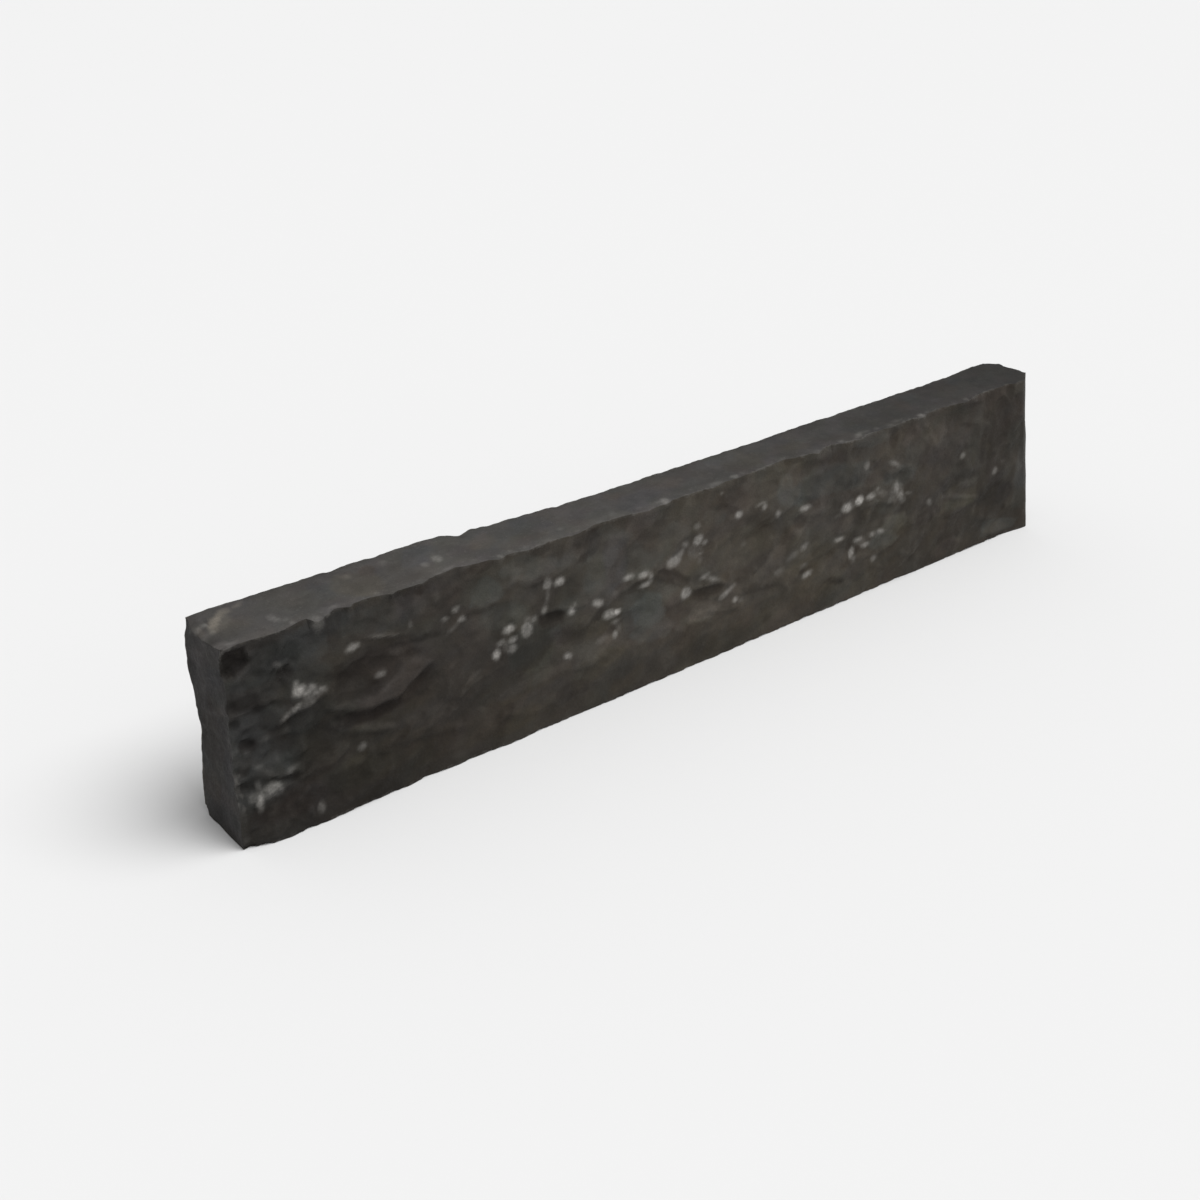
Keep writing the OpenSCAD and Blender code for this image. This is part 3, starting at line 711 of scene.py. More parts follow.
# crushed and pale spots on the top and its front edge: (u, w back from the edge line, ...)
TOP_SPOTS = [
    (10, 8.5, 7, 3, 0, .72), (3, 7, 3, 2.4, 0, .55), (57, 24, 4.4, 7, 15, .72), (63, 17, 4, 3.4, 0, .5), (65, 9, 3, 2.8, 0, .85), (84, 2, 5, 8, 10, .62),
    (104, 12, 6, 3, 0, .62), (141, 52, 3.5, 4.5, 10, .45), (143, 11, 3.5, 2.5, 0, .55), (178, 56, 6, 4, 30, .55), (184, 8.5, 3, 2, 0, .5),
    (204, 31, 4, 4, 0, .85), (218, 34, 4.6, 7, -20, .92), (214, 12, 7, 3, 10, .72), (203, 9, 5, 2.6, 0, .62), (241, 11.5, 3.5, 2, 0, .5),
    (263, 5, 3.5, 3, 0, .7), (275, 7, 4, 2.5, 0, .55), (291, 5, 5, 2, 0, .5), (302, 3, 3, 2, 0, .4), (313, 4, 5, 2.4, 0, .45),
    (336, 16, 4, 3, 30, .5), (345, 3, 6, 2.5, 0, .4), (374, 6, 5, 2.4, 0, .45), (393, 13, 7, 3.5, 40, .4), (420, 7, 4, 2.5, 0, .45),
    (449, 4, 5, 5.5, -35, 1.0), (442, 6, 3, 3, 0, .6), (484, 9, 3, 2, 0, .5), (512, 5, 8, 4, 0, .62), (538, 6.5, 5.4, 3.6, 0, .78),
    (549, 7, 3, 2.5, 0, .55), (568, 5, 4, 1.8, 0, .4), (605, 9, 6, 2.2, 10, .5), (597, 7, 3, 2, 0, .4), (645, 2, 6, 4, 0, .4),
    (682, 5, 4, 3.2, 0, .75), (708, 6, 9, 3, 24, .85), (722, 8, 5, 2.4, 0, .6), (736, 7, 4, 2.5, 0, .6), (754, 5, 5, 2.6, 0, .6),
    (768, 9, 8, 3.5, 0, .4), (801, 3.5, 5.5, 4, 0, 1.0), (812, 6, 4, 3, 0, .5), (852, 5, 5, 2.6, 0, .4), (874, 6, 4, 3, 0, .65), (890, 2, 2, 4, 0, .4)]
near_arris = (region == 1) | ((region == 0) & (pv > 166))
au, aw = pu[near_arris], (pw - 0.6 * (180 - pv))[near_arris]
wa, wb = au + 0.8 * grain2(au, aw, 4, 105), aw + 0.7 * grain2(au, aw, 4, 107)
spot[near_arris] = np.maximum(spot[near_arris], flecks(TOP_SPOTS, wa, wb, 0.56))
# and a few on the back, in loose clusters
rb = np.random.RandomState(12)
BACK_SPOTS = []
for cu, cv, many in ((120, 60, 5), (300, 132, 9), (372, 96, 8), (560, 110, 7), (645, 58, 6), (840, 126, 8), (900, 70, 4), (470, 34, 3)):
    for _ in range(many):
        ra = rb.uniform(2.0, 6.5)
        BACK_SPOTS.append((cu + rb.normal(0, 20), cv + rb.normal(0, 12), ra, ra * rb.uniform(0.45, 0.9), rb.uniform(-40, 40), rb.uniform(.35, .95)))
bsu, bsv = pu[is_back], pv[is_back]
spot[is_back] = flecks(BACK_SPOTS, bsu + 1.0 * grain2(bsu, bsv, 5, 109), bsv + 0.9 * grain2(bsu, bsv, 5, 113), 0.9)
# worn pale places along the top of the near end
rim = (region == 4) & (pv > 150) | (region == 1) & (pu < 12)
rw, rv = (pw + 0.8 * grain2(pw, pv, 5, 115))[rim], (pv - pu.clip(0, 12) * 0.3 + 0.6 * grain2(pw, pv, 4, 117))[rim]
spot[rim] = np.maximum(spot[rim], flecks([(48, 176, 4.6, 3.2, 0, .62), (34, 177.5, 6, 2.2, -8, .42), (55, 174, 4, 2.4, 0, .42), (12, 178, 5, 2, 0, .45), (47, 133, 2.4, 5, 12, .4)], rw, rv, 0.8))
put("spot", spot)
# the cream stain on the top near the corner, and the pinkish rub beside it
stain = np.zeros(n)
zu, zw = pu[region == 1], pw[region == 1]
zu2, zw2 = zu + 1.4 * fractal2(zu, zw, 9, 181, 3), zw + 1.4 * fractal2(zu, zw, 9, 183, 3)
for cu, cw, ra, rb, turn, level in ((18, 48, 15, 4.4, 54, 1.15), (29, 58, 9, 5, 35, .75), (11, 37, 6, 4, 60, .7), (22, 44, 12, 7, 50, .4), (46, 64, 6, 3, 30, .45),
                                    (2, 42, 2.5, 9, 0, .35), (140, 53, 5, 4, 0, .25)):
    p, q = turned(zu2, zw2, cu, cw, ra, rb, turn)
    stain[region == 1] = np.maximum(stain[region == 1], level * smooth(1.45, 0.35, np.sqrt(p * p + q * q)))
put("stain", stain)


# blue-grey facets: partly the stone's own weathered blue-grey, partly a painted reflection of the sky on facets that
# turn upward
BLUE_AND_REFLECTION = [(401, 80, 8, 18, 0, .4), (490, 53, 20, 8, 0, .5), (430, 51, 22, 6, 0, .35), 
    (12, 66, 34, 34, 0, .6), (20, 110, 26, 14, 10, .75), (36, 160, 24, 12, 0, .6), (66, 158, 22, 18, 0, .6),
    (78, 170, 12, 12, 0, .55), (20, 148, 26, 8, 0, .5), (70, 128, 22, 14, 10, .6), (64, 100, 22, 12, 20, .4),
    (112, 168, 26, 12, -8, .5), (145, 160, 24, 12, -20, .45), (243, 152, 14, 12, 10, .55), (248, 145, 16, 4, 0, .8),
    (262, 124, 26, 12, -10, .6), (284, 90, 22, 18, 30, .4), (281, 166, 22, 8, 0, .55), (306, 156, 20, 9, 0, .6),
    (372, 128, 22, 22, 20, .7), (412, 128, 24, 14, -10, .6), (312, 90, 10, 9, 0, .5), (346, 112, 26, 10, 0, .35),
    (422, 70, 19, 16, 0, .5), (412, 94, 18, 7, -10, .4), (455, 136, 22, 20, 30, .45), (440, 172, 26, 9, -10, .45),
    (602, 150, 11, 16, 0, .65), (622, 140, 22, 12, -10, .7), (662, 148, 34, 14, -6, .75), (698, 140, 28, 12, -8, .7),
    (726, 172, 26, 8, -4, .55), (772, 120, 26, 12, -8, .5), (752, 53, 22, 10, -6, .9), (750, 92, 22, 8, -20, .4),
    (510, 148, 16, 10, 0, .4), (942, 14, 24, 8, -14, .7), (985, 60, 10, 34, 0, .5), (985, 100, 8, 20, 0, .45),
    (500, 60, 22, 8, -20, .3)]
# darker brown hollows and bands: partly the stone's own brown, partly painted shade in hollows and pits and under the
# ledges
DARK_AND_SHADE = [
    (12, 168, 12, 10, 0, 1.0), (11, 92, 8, 6, 0, .9), (5, 130, 8, 5, 0, .5), (20, 125, 18, 4, 4, .6), (2, 115, 4, 5, 0, .4),
    (4, 71, 6, 4, 20, .6), (5, 55, 6, 5, 0, .4), (34, 57, 14, 4, -8, .45), (45, 53, 6, 4, 0, .6), (50, 143, 9, 7, 10, .75),
    (36, 160, 10, 4, 0, .2), (115, 128, 30, 8, 2, .7), (165, 122, 9, 3, -8, .6), (181, 131, 15, 3.4, -4, .5),
    (124, 81, 36, 6, 0, .95), (170, 92, 16, 5, 34, .7), (95, 88, 14, 5, -30, .6), (98, 68, 12, 3, -20, .45),
    (76, 92, 8, 16, 0, .5), (96, 166, 6, 14, 0, .5), (118, 178, 12, 3, -14, .6), (157, 178, 6, 3, 0, .6), (178, 176, 14, 6, 0, .5),
    (200, 152, 20, 8, 0, .35), (240, 177, 16, 5, 0, .7), (303, 174, 12, 5, 0, .6), (301, 145, 8, 4, 0, .55), (312, 105, 15, 7, -4, 1.05),
    (286, 88, 22, 16, 30, .45), (330, 82, 22, 8, -20, .5), (366, 91, 8, 4, 20, .8), (350, 88, 10, 3, 0, .5), (382, 73, 8, 5, 40, .5),
    (360, 164, 22, 12, -20, .55), (390, 172, 20, 6, 0, .5), (375, 47, 14, 6, 0, .5), (410, 110, 10, 4, 0, .6),
    (452, 103, 27, 6, -27, .8), (466, 172, 12, 5, 30, .5), (425, 152, 40, 12, -10, .12), (500, 74, 19, 6, -4, .8), (468, 60, 10, 5, 0, .35),
    (535, 158, 22, 14, -30, .4), (560, 80, 24, 8, 24, .55), (560, 92, 30, 10, 0, .2), (566, 56, 22, 5, -12, .55),
    (542, 175, 12, 4, 0, .45), (578, 158, 18, 8, 0, .45), (614, 178, 14, 4, -10, .6), (636, 164, 26, 8, 0, .45), (670, 164, 22, 10, 0, .4),
    (625, 110, 9, 7, 0, .7), (646, 121, 8, 3, -20, .5), (682, 118, 30, 8, -10, .3), (680, 29, 14, 4, -20, .85), (629, 53, 6, 2.5, 20, .8), (640, 56, 4, 2, 0, .6),
    (708, 55, 4, 4, 0, .8), (713, 58, 3, 3, 0, .7), (710, 92, 8, 12, 10, .5), (716, 100, 12, 4, 10, .5), (730, 143, 16, 5, -8, .45),
    (758, 168, 8, 14, 0, .65), (782, 110, 10, 4, -20, .4), (742, 46, 8, 3, 0, .5), (698, 62, 4, 5, 0, .5), (770, 44, 14, 4, 10, .4),
    (815, 140, 6, 22, -20, .3), (880, 176, 30, 5, -4, .4), (920, 160, 14, 28, 0, .5), (930, 130, 20, 16, 0, .4),
    (922, 62, 22, 14, 0, .4), (906, 70, 5, 12, 0, .35), (940, 46, 30, 16, 0, .35), (866, 46, 16, 3, -16, .4), (90, 26, 60, 16, 0, .3), (298, 94, 14, 6, 20, .6), (163, 122, 8, 2.6, -10, .5), (93, 69, 8, 3, -10, .5),
        (740, 24, 22, 3, -16, .5), (822, 62, 18, 8, 10, .4), (629, 54, 4, 2, 0, 1.0), (2, 134, 6, 3, -34, .5)]
# warm olive-brown areas
WARM = [
    (70, 72, 14, 14, 40, .6), (150, 74, 26, 8, 0, .5), (130, 42, 40, 12, 6, .7), (170, 34, 30, 12, 0, .6), (270, 54, 44, 12, 0, .5),
    (356, 84, 26, 12, -10, .5), (376, 46, 18, 8, 0, .6), (330, 124, 14, 8, 0, .3), (470, 108, 22, 12, -20, .7), (560, 108, 34, 20, 20, .4),
    (600, 170, 26, 12, 0, .7), (640, 66, 34, 14, 0, .6), (540, 78, 26, 8, -10, .5), (770, 64, 26, 12, -10, .7), (810, 112, 14, 12, 0, .7),
    (862, 70, 26, 14, -10, .8), (905, 112, 16, 20, 0, .5), (785, 158, 18, 14, 0, .3), (440, 168, 20, 4, 0, .3), (250, 20, 60, 10, 0, .5),
    (600, 30, 80, 14, 0, .3), (120, 30, 30, 10, 0, .5)]
# paler areas: partly paler stone, partly painted light on the lit slopes above the ledges and on facets that turn
# upward
PALE_AND_LIT = [
    (118, 92, 32, 5, -10, .8), (154, 99, 22, 7, 34, .9), (138, 92, 14, 7, 10, .7), (128, 66, 22, 5, -18, .7), (170, 60, 34, 9, -8, .5),
    (185, 72, 24, 12, 0, .35), (215, 96, 24, 16, 30, .3), (262, 154, 20, 4, -16, .5), (292, 150, 8, 6, 0, .5), (342, 160, 14, 12, 50, .5),
    (320, 152, 26, 8, 0, .45), (355, 58, 18, 8, 0, .6), (480, 104, 20, 8, -20, .5), (494, 60, 22, 5, -22, .55), (530, 126, 20, 14, 0, .3), (550, 104, 34, 20, 0, .6),
    (560, 66, 24, 5, -10, .5), (590, 76, 18, 8, 20, .5), (650, 92, 34, 14, 0, .45), (695, 90, 16, 10, 30, .5), (616, 60, 18, 10, 0, .4), (605, 168, 18, 8, 10, .5),
    (575, 168, 12, 6, 0, .35), (652, 174, 10, 6, 0, .5), (745, 72, 26, 9, 0, .45), (786, 158, 20, 14, 20, .45), (812, 148, 8, 14, -20, .3), (858, 140, 26, 18, 0, .35),
    (852, 126, 34, 14, -8, .4), (862, 70, 24, 10, -10, .55), (888, 80, 16, 5, -8, .5), (886, 66, 22, 3, -12, .5), (800, 70, 20, 14, 0, .3),
    (898, 172, 4, 10, 0, .4), (170, 160, 20, 8, 0, .35), (62, 140, 26, 6, -6, .35), (130, 176, 12, 4, 0, .3), (158, 172, 8, 5, 0, .4), (935, 14, 22, 8, -14, .6), (244, 145, 14, 3, -4, .5), (300, 38, 34, 6, 10, .35), (400, 36, 40, 8, -10, .3), (540, 34, 34, 7, 14, .3), (590, 20, 24, 12, 20, .3),
         (705, 40, 12, 16, 20, .25), (386, 140, 10, 22, 0, .45)]
cu_, cv_ = fu + 3.2 * fractal2(fu, fv, 30, 13, 3), fv + 2.6 * fractal2(fu, fv, 30, 17, 3)
patch_a = facets(cu_, cv_, 30, 1.8, 24, 5, 0, 1, 0.09)
patch_b = facets(cu_ + cv_ * 0.2, cv_, 13, 1.6, 30, 7, 0, 1, 0.13)
patch_c = facets(cu_, cv_, 7, 1.5, 12, 8, 0, 1, 0.25)
# broad tone: the near third is darker, the middle paler, the far end darker again
ft = np.interp(fu, [0, 60, 120, 230, 350, 470, 700, 900, 910, 992], [0.58, 0.54, 0.56, 0.78, 1.0, 1.14, 1.08, 0.94, 0.86, 0.84])
ft = ft + 0.10 * smooth(120, 150, fv) * smooth(40, 80, fu) * (1 - smooth(120, 190, fu))
# darker towards the bed: painted shade of the lower band of the face, which turns downward
ft = ft * (1 - 0.14 * (1 - smooth(6, 55, fv + 10 * fractal2(fu, fv, 60, 131, 3))))
ft = ft * (1 + (1 - 0.35 * smooth(740, 840, fu)) * (0.10 * patch_a + 0.08 * patch_b + 0.05 * patch_c) + 0.05 * fractal2(fu, fv, 40, 133, 3))
# broad darker places and paler ones
DARKER_PLACES = [(42, 160, 24, 15, -10, .8), (60, 138, 16, 9, -10, .6), (110, 106, 26, 14, -10, .5), (130, 50, 30, 7, 0, .35), (165, 168, 10, 8, 0, .2), (62, 88, 18, 26, 10, .6), (66, 64, 20, 12, 0, .6), (104, 170, 20, 12, 0, .55),
         (348, 132, 18, 14, 20, .4), (362, 166, 10, 14, -20, .6), (668, 141, 52, 15, -6, .85), (520, 164, 22, 12, 0, .5),
         (505, 14, 50, 14, 0, .6), (936, 56, 32, 16, -4, .9), (935, 120, 26, 50, 0, .45), (220, 168, 22, 10, 0, .4), (982, 70, 10, 60, 0, .4), (350, 114, 26, 9, 0, .3), (332, 18, 34, 9, 0, .4), (866, 164, 36, 11, 0, .4), (868, 92, 32, 8, 0, .4), (930, 38, 28, 10, 0, .3), (76, 106, 16, 12, 0, .35)]
PALER_PLACES = [(186, 160, 14, 10, 0, .9), (230, 118, 18, 14, 20, .8), (282, 134, 14, 14, 0, .7), (52, 150, 7, 5, 0, .9), (478, 52, 22, 8, -20, .7),
          (592, 90, 16, 16, 20, .9), (532, 60, 16, 8, -10, .8), (860, 14, 26, 10, 0, 1.0), (942, 14, 24, 9, -12, .7), (766, 67, 18, 10, 0, .5), (850, 140, 32, 20, 0, .12), (456, 84, 14, 9, 0, .3), (165, 90, 12, 7, 36, .7), (98, 94, 10, 5, -20, .6), (124, 68, 18, 4, -16, .6), (262, 160, 26, 12, 0, .3)]
ft = ft * (1 - 0.34 * patches(DARKER_PLACES, cu_, cv_) + 0.30 * patches(PALER_PLACES, cu_, cv_))
hue_f = np.interp(fu, [0, 50, 100, 200, 380, 460, 992], [-0.9, -0.5, 0.2, 0.15, 0.0, 0.15, 0.2]) \
    + 0.40 * (1 - smooth(20, 90, fv)) + 0.45 * facets(cu_, cv_, 22, 1.8, 16, 205, 0, 1, 0.2) \
    + 0.3 * facets(cu_, cv_, 10, 1.5, 40, 206, 0, 1, 0.3) - 0.7 * patches([(136, 164, 46, 15, 0, 1), (62, 160, 30, 18, 0, .5), (102, 162, 16, 20, 0, 1.3), (388, 140, 14, 28, 0, .9), (608, 138, 22, 12, 0, .6)], cu_, cv_) \
    + 0.6 * patches([(66, 58, 20, 18, 30, 1), (34, 30, 26, 12, 0, .8)], cu_, cv_)
tone, hue = np.full(n, 0.95), np.zeros(n)
tone[is_front], hue[is_front] = ft, hue_f
bu, bv = pu[is_back], pv[is_back]
tone[is_back] = 1.08 * (1 + 0.12 * facets(bu, bv, 30, 1.7, -24, 55, 0, 1, 0.14) + 0.08 * facets(bu, bv, 13, 1.5, -36, 57, 0, 1, 0.2)
                       + 0.10 * fractal2(bu, bv, 44, 135, 4))
hue[is_back] = 0.1 + 0.5 * facets(bu, bv, 24, 1.8, -16, 215, 0, 1, 0.2) + 0.3 * fractal2(bu, bv, 50, 137, 3)
# the top: paler at the near end, tan and grey-green clouds
is_top = (region == 1)
tu, tw = pu[is_top], pw[is_top]
cloud_u, cloud_w = tu + 5 * fractal2(tu, tw, 18, 161, 3), tw + 4 * fractal2(tu, tw, 18, 163, 3)
tone[is_top] = np.interp(tu, [0, 40, 260, 600, 992], [0.76, 0.83, 0.92, 0.74, 0.41]) \
    * (1 + 0.07 * fractal2(tu, tw, 40, 165, 3) + 0.05 * facets(cloud_u, cloud_w, 15, 1.6, 35, 167, 0, 1, 0.35))
off_front = tw - np.interp(tu, us, front[:, -1])
off_back = np.interp(tu, us, back[:, -1]) - tw
bruise = np.clip(0.62 + 0.55 * fractal2(tu, tw, 22, 191, 3), 0.1, 1.3) * (1 - 0.45 * smooth(820, 900, tu))
# paler along the bruised front edge; darker along the back edge: painted shade where the chipped edge falls away
tone[is_top] *= 1 + 0.24 * bruise * smooth(15, 4, off_front) - 0.20 * np.clip(0.5 + fractal2(tu, tw, 12, 193, 3), 0, 1.2) * smooth(7, 1.5, off_back)
T_WARM = [(140, 36, 22, 22, 20, .9), (160, 52, 9, 9, 0, 1.3), (22, 30, 16, 12, 30, .4), (300, 20, 30, 12, 10, .5), (268, 38, 18, 10, 30, .7),
          (418, 44, 12, 8, 0, .6), (480, 36, 16, 12, 0, .5), (570, 26, 30, 14, 10, .6), (640, 24, 14, 10, 0, .5), (808, 38, 14, 10, 30, .6), (884, 38, 16, 10, 0, .5)]
T_COOL = [(205, 48, 22, 12, 30, .8), (110, 52, 10, 12, 0, .5), (320, 40, 22, 18, 30, .7), (430, 22, 28, 14, 20, .7), (545, 44, 10, 8, 0, .6),
          (630, 46, 14, 10, 0, .6), (720, 22, 12, 8, 40, .5), (832, 50, 14, 8, 30, .6), (905, 50, 14, 8, 30, .6)]
hue[is_top] = 0.30 * fractal2(tu, tw, 34, 169, 3) + 0.25 * facets(cloud_u, cloud_w, 13, 1.5, 35, 171, 0, 1, 0.35) + 0.1 \
    + 0.9 * patches(T_WARM, cloud_u, cloud_w) - 0.8 * patches(T_COOL, cloud_u, cloud_w)
tone[is_top] *= 1 - 0.16 * patches([(160, 51, 9, 10, 0, 1.2), (150, 40, 20, 16, 20, .8), (928, 41, 9, 5, 20, 1.2), (912, 52, 10, 6, 20, .9), (778, 34, 8, 4, 20, .4)], cloud_u, cloud_w)
# the near end: paler along its front edge and near the top, darker in the middle
le = (region == 4)
lw, lv = pw[le], pv[le]
lw2, lv2 = lw + 2.4 * fractal2(lw, lv, 14, 173, 3), lv + 2.4 * fractal2(lw, lv, 14, 175, 3)
L_PALE = [(48, 156, 9, 9, 0, .65), (45, 130, 6, 9, 0, .55), (16, 121, 18, 4, -24, .5), (32, 112, 14, 4, -22, .45), (4, 92, 6, 9, 0, .6), (4, 56, 8, 24, 0, .8), (-1, 30, 4, 26, 0, .9), (16, 40, 16, 20, 0, .25),
          (46, 38, 16, 18, 0, .2), (12, 28, 18, 12, 0, .15), (6, 112, 8, 5, -20, .3), (20, 170, 16, 6, -10, .15)]
L_DARK = [(50, 98, 10, 18, 0, .9), (34, 104, 26, 22, 0, .7), (25, 130, 9, 7, 0, .5), (20, 147, 14, 8, -25, .35), (0, 166, 6, 11, 0, 1.4),
          (-1, 146, 6, 5, -30, .9), (0, 130, 5, 6, -30, .9), (8, 20, 8, 5, -20, .4), (34, 74, 24, 14, 0, .4), (60, 76, 5, 16, 0, .4), (-2, 116, 4, 5, -30, .8)]
tone[le] = (0.95 - 0.22 * smooth(46, 62, lw) * smooth(40, 70, lv)) * (1 + 0.34 * patches(L_PALE, lw2, lv2) - 0.36 * patches(L_DARK, lw2, lv2) + 0.07 * facets(lw2, lv2, 11, 1.6, -25, 75, 0, 1, 0.2)
                  + 0.05 * fractal2(lw, lv, 22, 177, 3))
hue[le] = 0.3 * fractal2(lw, lv, 30, 179, 3) + 0.9 * patches([(25, 120, 14, 8, 0, .8), (36, 84, 22, 26, 0, .7), (46, 36, 16, 16, 0, .8)], lw2, lv2) \
    - 0.8 * patches([(18, 150, 14, 9, -20, .9), (10, 64, 12, 20, 0, .6), (16, 20, 16, 12, 0, .3)], lw2, lv2)
rose = np.zeros(n)
ROSY = [(138, 112, 48, 26, 0, .9), (320, 86, 14, 10, 0, .7), (420, 170, 22, 9, 0, .7), (496, 54, 22, 9, 0, .9), (40, 32, 30, 14, 0, .6), (40, 30, 34, 14, 0, .9), (186, 162, 34, 16, 0, .9), (218, 24, 22, 20, 0, .6), (386, 140, 12, 26, 0, 1.0), (822, 62, 20, 9, 10, .6), (430, 52, 34, 8, 0, .5), (820, 136, 20, 16, 0, .4), (48, 152, 8, 7, 0, .8), (120, 80, 40, 8, 0, .7), (356, 165, 18, 14, 0, .4),
        (464, 134, 12, 30, -20, .6), (495, 55, 26, 9, -20, .6), (612, 152, 16, 24, 0, .6), (690, 90, 20, 12, 0, .6), (788, 160, 14, 14, 0, .7),
        (850, 140, 34, 28, 0, .8), (952, 150, 30, 16, 0, .6), (830, 114, 22, 14, 0, .6), (735, 134, 28, 12, 0, .5), (660, 165, 26, 10, 0, .4), (860, 14, 22, 9, 0, .6)]
rose[is_front] = 0.15 + 0.5 * facets(cu_, cv_, 26, 1.7, 30, 221, 0, 1, 0.2) + 0.3 * fractal2(fu, fv, 34, 223, 3) + 0.9 * patches(ROSY, cu_, cv_) \
    - 1.2 * patches([(290, 82, 24, 20, 10, 1), (766, 66, 20, 12, 0, .9), (872, 62, 26, 8, -6, .8), (110, 34, 40, 14, 0, .5), (540, 106, 34, 22, 0, .5), (492, 53, 26, 11, 0, .4)], cu_, cv_)
rose[is_back] = 0.6 * facets(bu, bv, 26, 1.7, -30, 225, 0, 1, 0.25)
rose[is_top] = 0.4 + 0.6 * facets(cloud_u, cloud_w, 14, 1.6, 35, 227, 0, 1, 0.35) + 1.2 * patches([(160, 52, 9, 9, 0, 1), (142, 56, 6, 5, 0, .7), (2, 40, 4, 10, 0, .8)], tu, tw)
rose[le] = 0.35 + 0.5 * facets(lw2, lv2, 13, 1.6, -25, 229, 0, 1, 0.3)
put("tone", tone)
put("hue", hue)
put("rose", rose)

# sharp-edged patches: corners anticlockwise, amount
# blue-grey patches: partly the stone's own colour, partly a painted reflection of the sky on facets that turn upward
BLUE_AND_REFLECTION_P = [([(56, 150), (68, 142), (90, 148), (91, 178), (66, 178)], .5), ([(226, 143), (262, 142), (262, 152), (247, 168), (238, 166)], .62),
          ([(352, 150), (364, 112), (404, 116), (430, 124), (408, 160), (378, 178), (358, 172)], .5),
          ([(402, 88), (407, 66), (432, 58), (446, 66), (441, 90), (424, 97)], .85), ([(398, 60), (412, 47), (446, 43), (460, 54), (446, 64), (420, 66)], .55), ([(398, 166), (440, 169), (468, 158), (472, 136), (444, 125), (406, 131)], .4), ([(594, 136), (610, 140), (612, 164), (598, 168)], .5),
          ([(634, 130), (716, 124), (722, 150), (640, 158)], .55), ([(740, 46), (764, 44), (770, 56), (744, 62)], .6),
          ([(0, 62), (30, 60), (46, 66), (40, 84), (10, 86), (0, 80)], .4), ([(917, 6), (972, 5), (982, 14), (950, 22), (919, 27)], 1.0), ([(968, 30), (986, 24), (984, 110), (970, 112)], .4)]
# dark brown patches: partly the stone's own brown, partly painted shade in pits and under the ledges
DARK_AND_SHADE_P = [([(-4, 153), (8, 152), (17, 156), (21, 164), (19, 175), (15, 178), (-4, 178)], 1.0),
          ([(84, 96), (90, 86), (104, 78), (121, 75), (124, 85), (108, 88), (96, 92)], 1.0), ([(121, 75), (138, 76), (152, 80), (154, 87), (138, 88), (123, 85)], 1.0),
          ([(148, 78), (168, 84), (186, 100), (184, 105), (160, 90), (150, 85)], .35), ([(60, 72), (84, 66), (88, 80), (74, 92), (62, 88)], .35), ([(87, 68), (98, 64), (100, 68), (90, 74)], .5),
          ([(88, 104), (100, 99), (126, 98), (141, 103), (162, 118), (158, 124), (142, 132), (112, 136), (98, 130)], .35), ([(94, 150), (102, 150), (104, 178), (93, 178)], .45),
          ([(60, 42), (88, 44), (96, 58), (84, 58), (70, 50)], .4), ([(-4, 120), (20, 119), (40, 122), (38, 127), (14, 129), (-4, 128)], .6),
          ([(297, 104), (303, 97), (325, 98), (329, 107), (319, 114), (299, 114)], 1.0), ([(478, 72), (490, 65), (514, 66), (523, 74), (508, 82), (484, 82)], .6), ([(508, 96), (540, 82), (560, 78), (578, 84), (592, 98), (594, 120), (560, 134), (520, 128), (505, 112)], .08),
          ([(344, 150), (354, 148), (370, 178), (358, 178)], .7), ([(238, 22), (250, 14), (268, 36), (262, 42), (250, 38)], .42), ([(100, 18), (200, 14), (206, 38), (170, 46), (140, 52), (112, 48)], .26), ([(440, 4), (520, 4), (512, 20), (486, 34), (458, 20)], .18), ([(310, 20), (348, 20), (352, 32), (332, 37), (312, 32)], .5), ([(270, 62), (296, 66), (314, 84), (306, 97), (286, 99), (268, 84)], .55), ([(442, 165), (464, 162), (472, 178), (450, 177)], .5), ([(52, 40), (80, 44), (88, 62), (74, 78), (58, 66)], .4), ([(22, 20), (46, 16), (52, 36), (30, 40)], .35), ([(432, 112), (440, 104), (474, 88), (478, 93), (462, 107), (436, 117)], .6),
          ([(903, 100), (910, 98), (914, 178), (902, 178)], .62), ([(905, 46), (940, 40), (966, 44), (964, 64), (907, 72)], .35),
          ([(44, 140), (50, 138), (56, 141), (57, 148), (46, 148)], .8), ([(3, 88), (12, 86), (20, 91), (15, 98), (5, 98)], .9),
          ([(24, 54), (40, 52), (44, 58), (34, 61), (22, 62)], .4), ([(0, 2), (60, 3), (56, 26), (30, 34), (0, 30)], .35)]
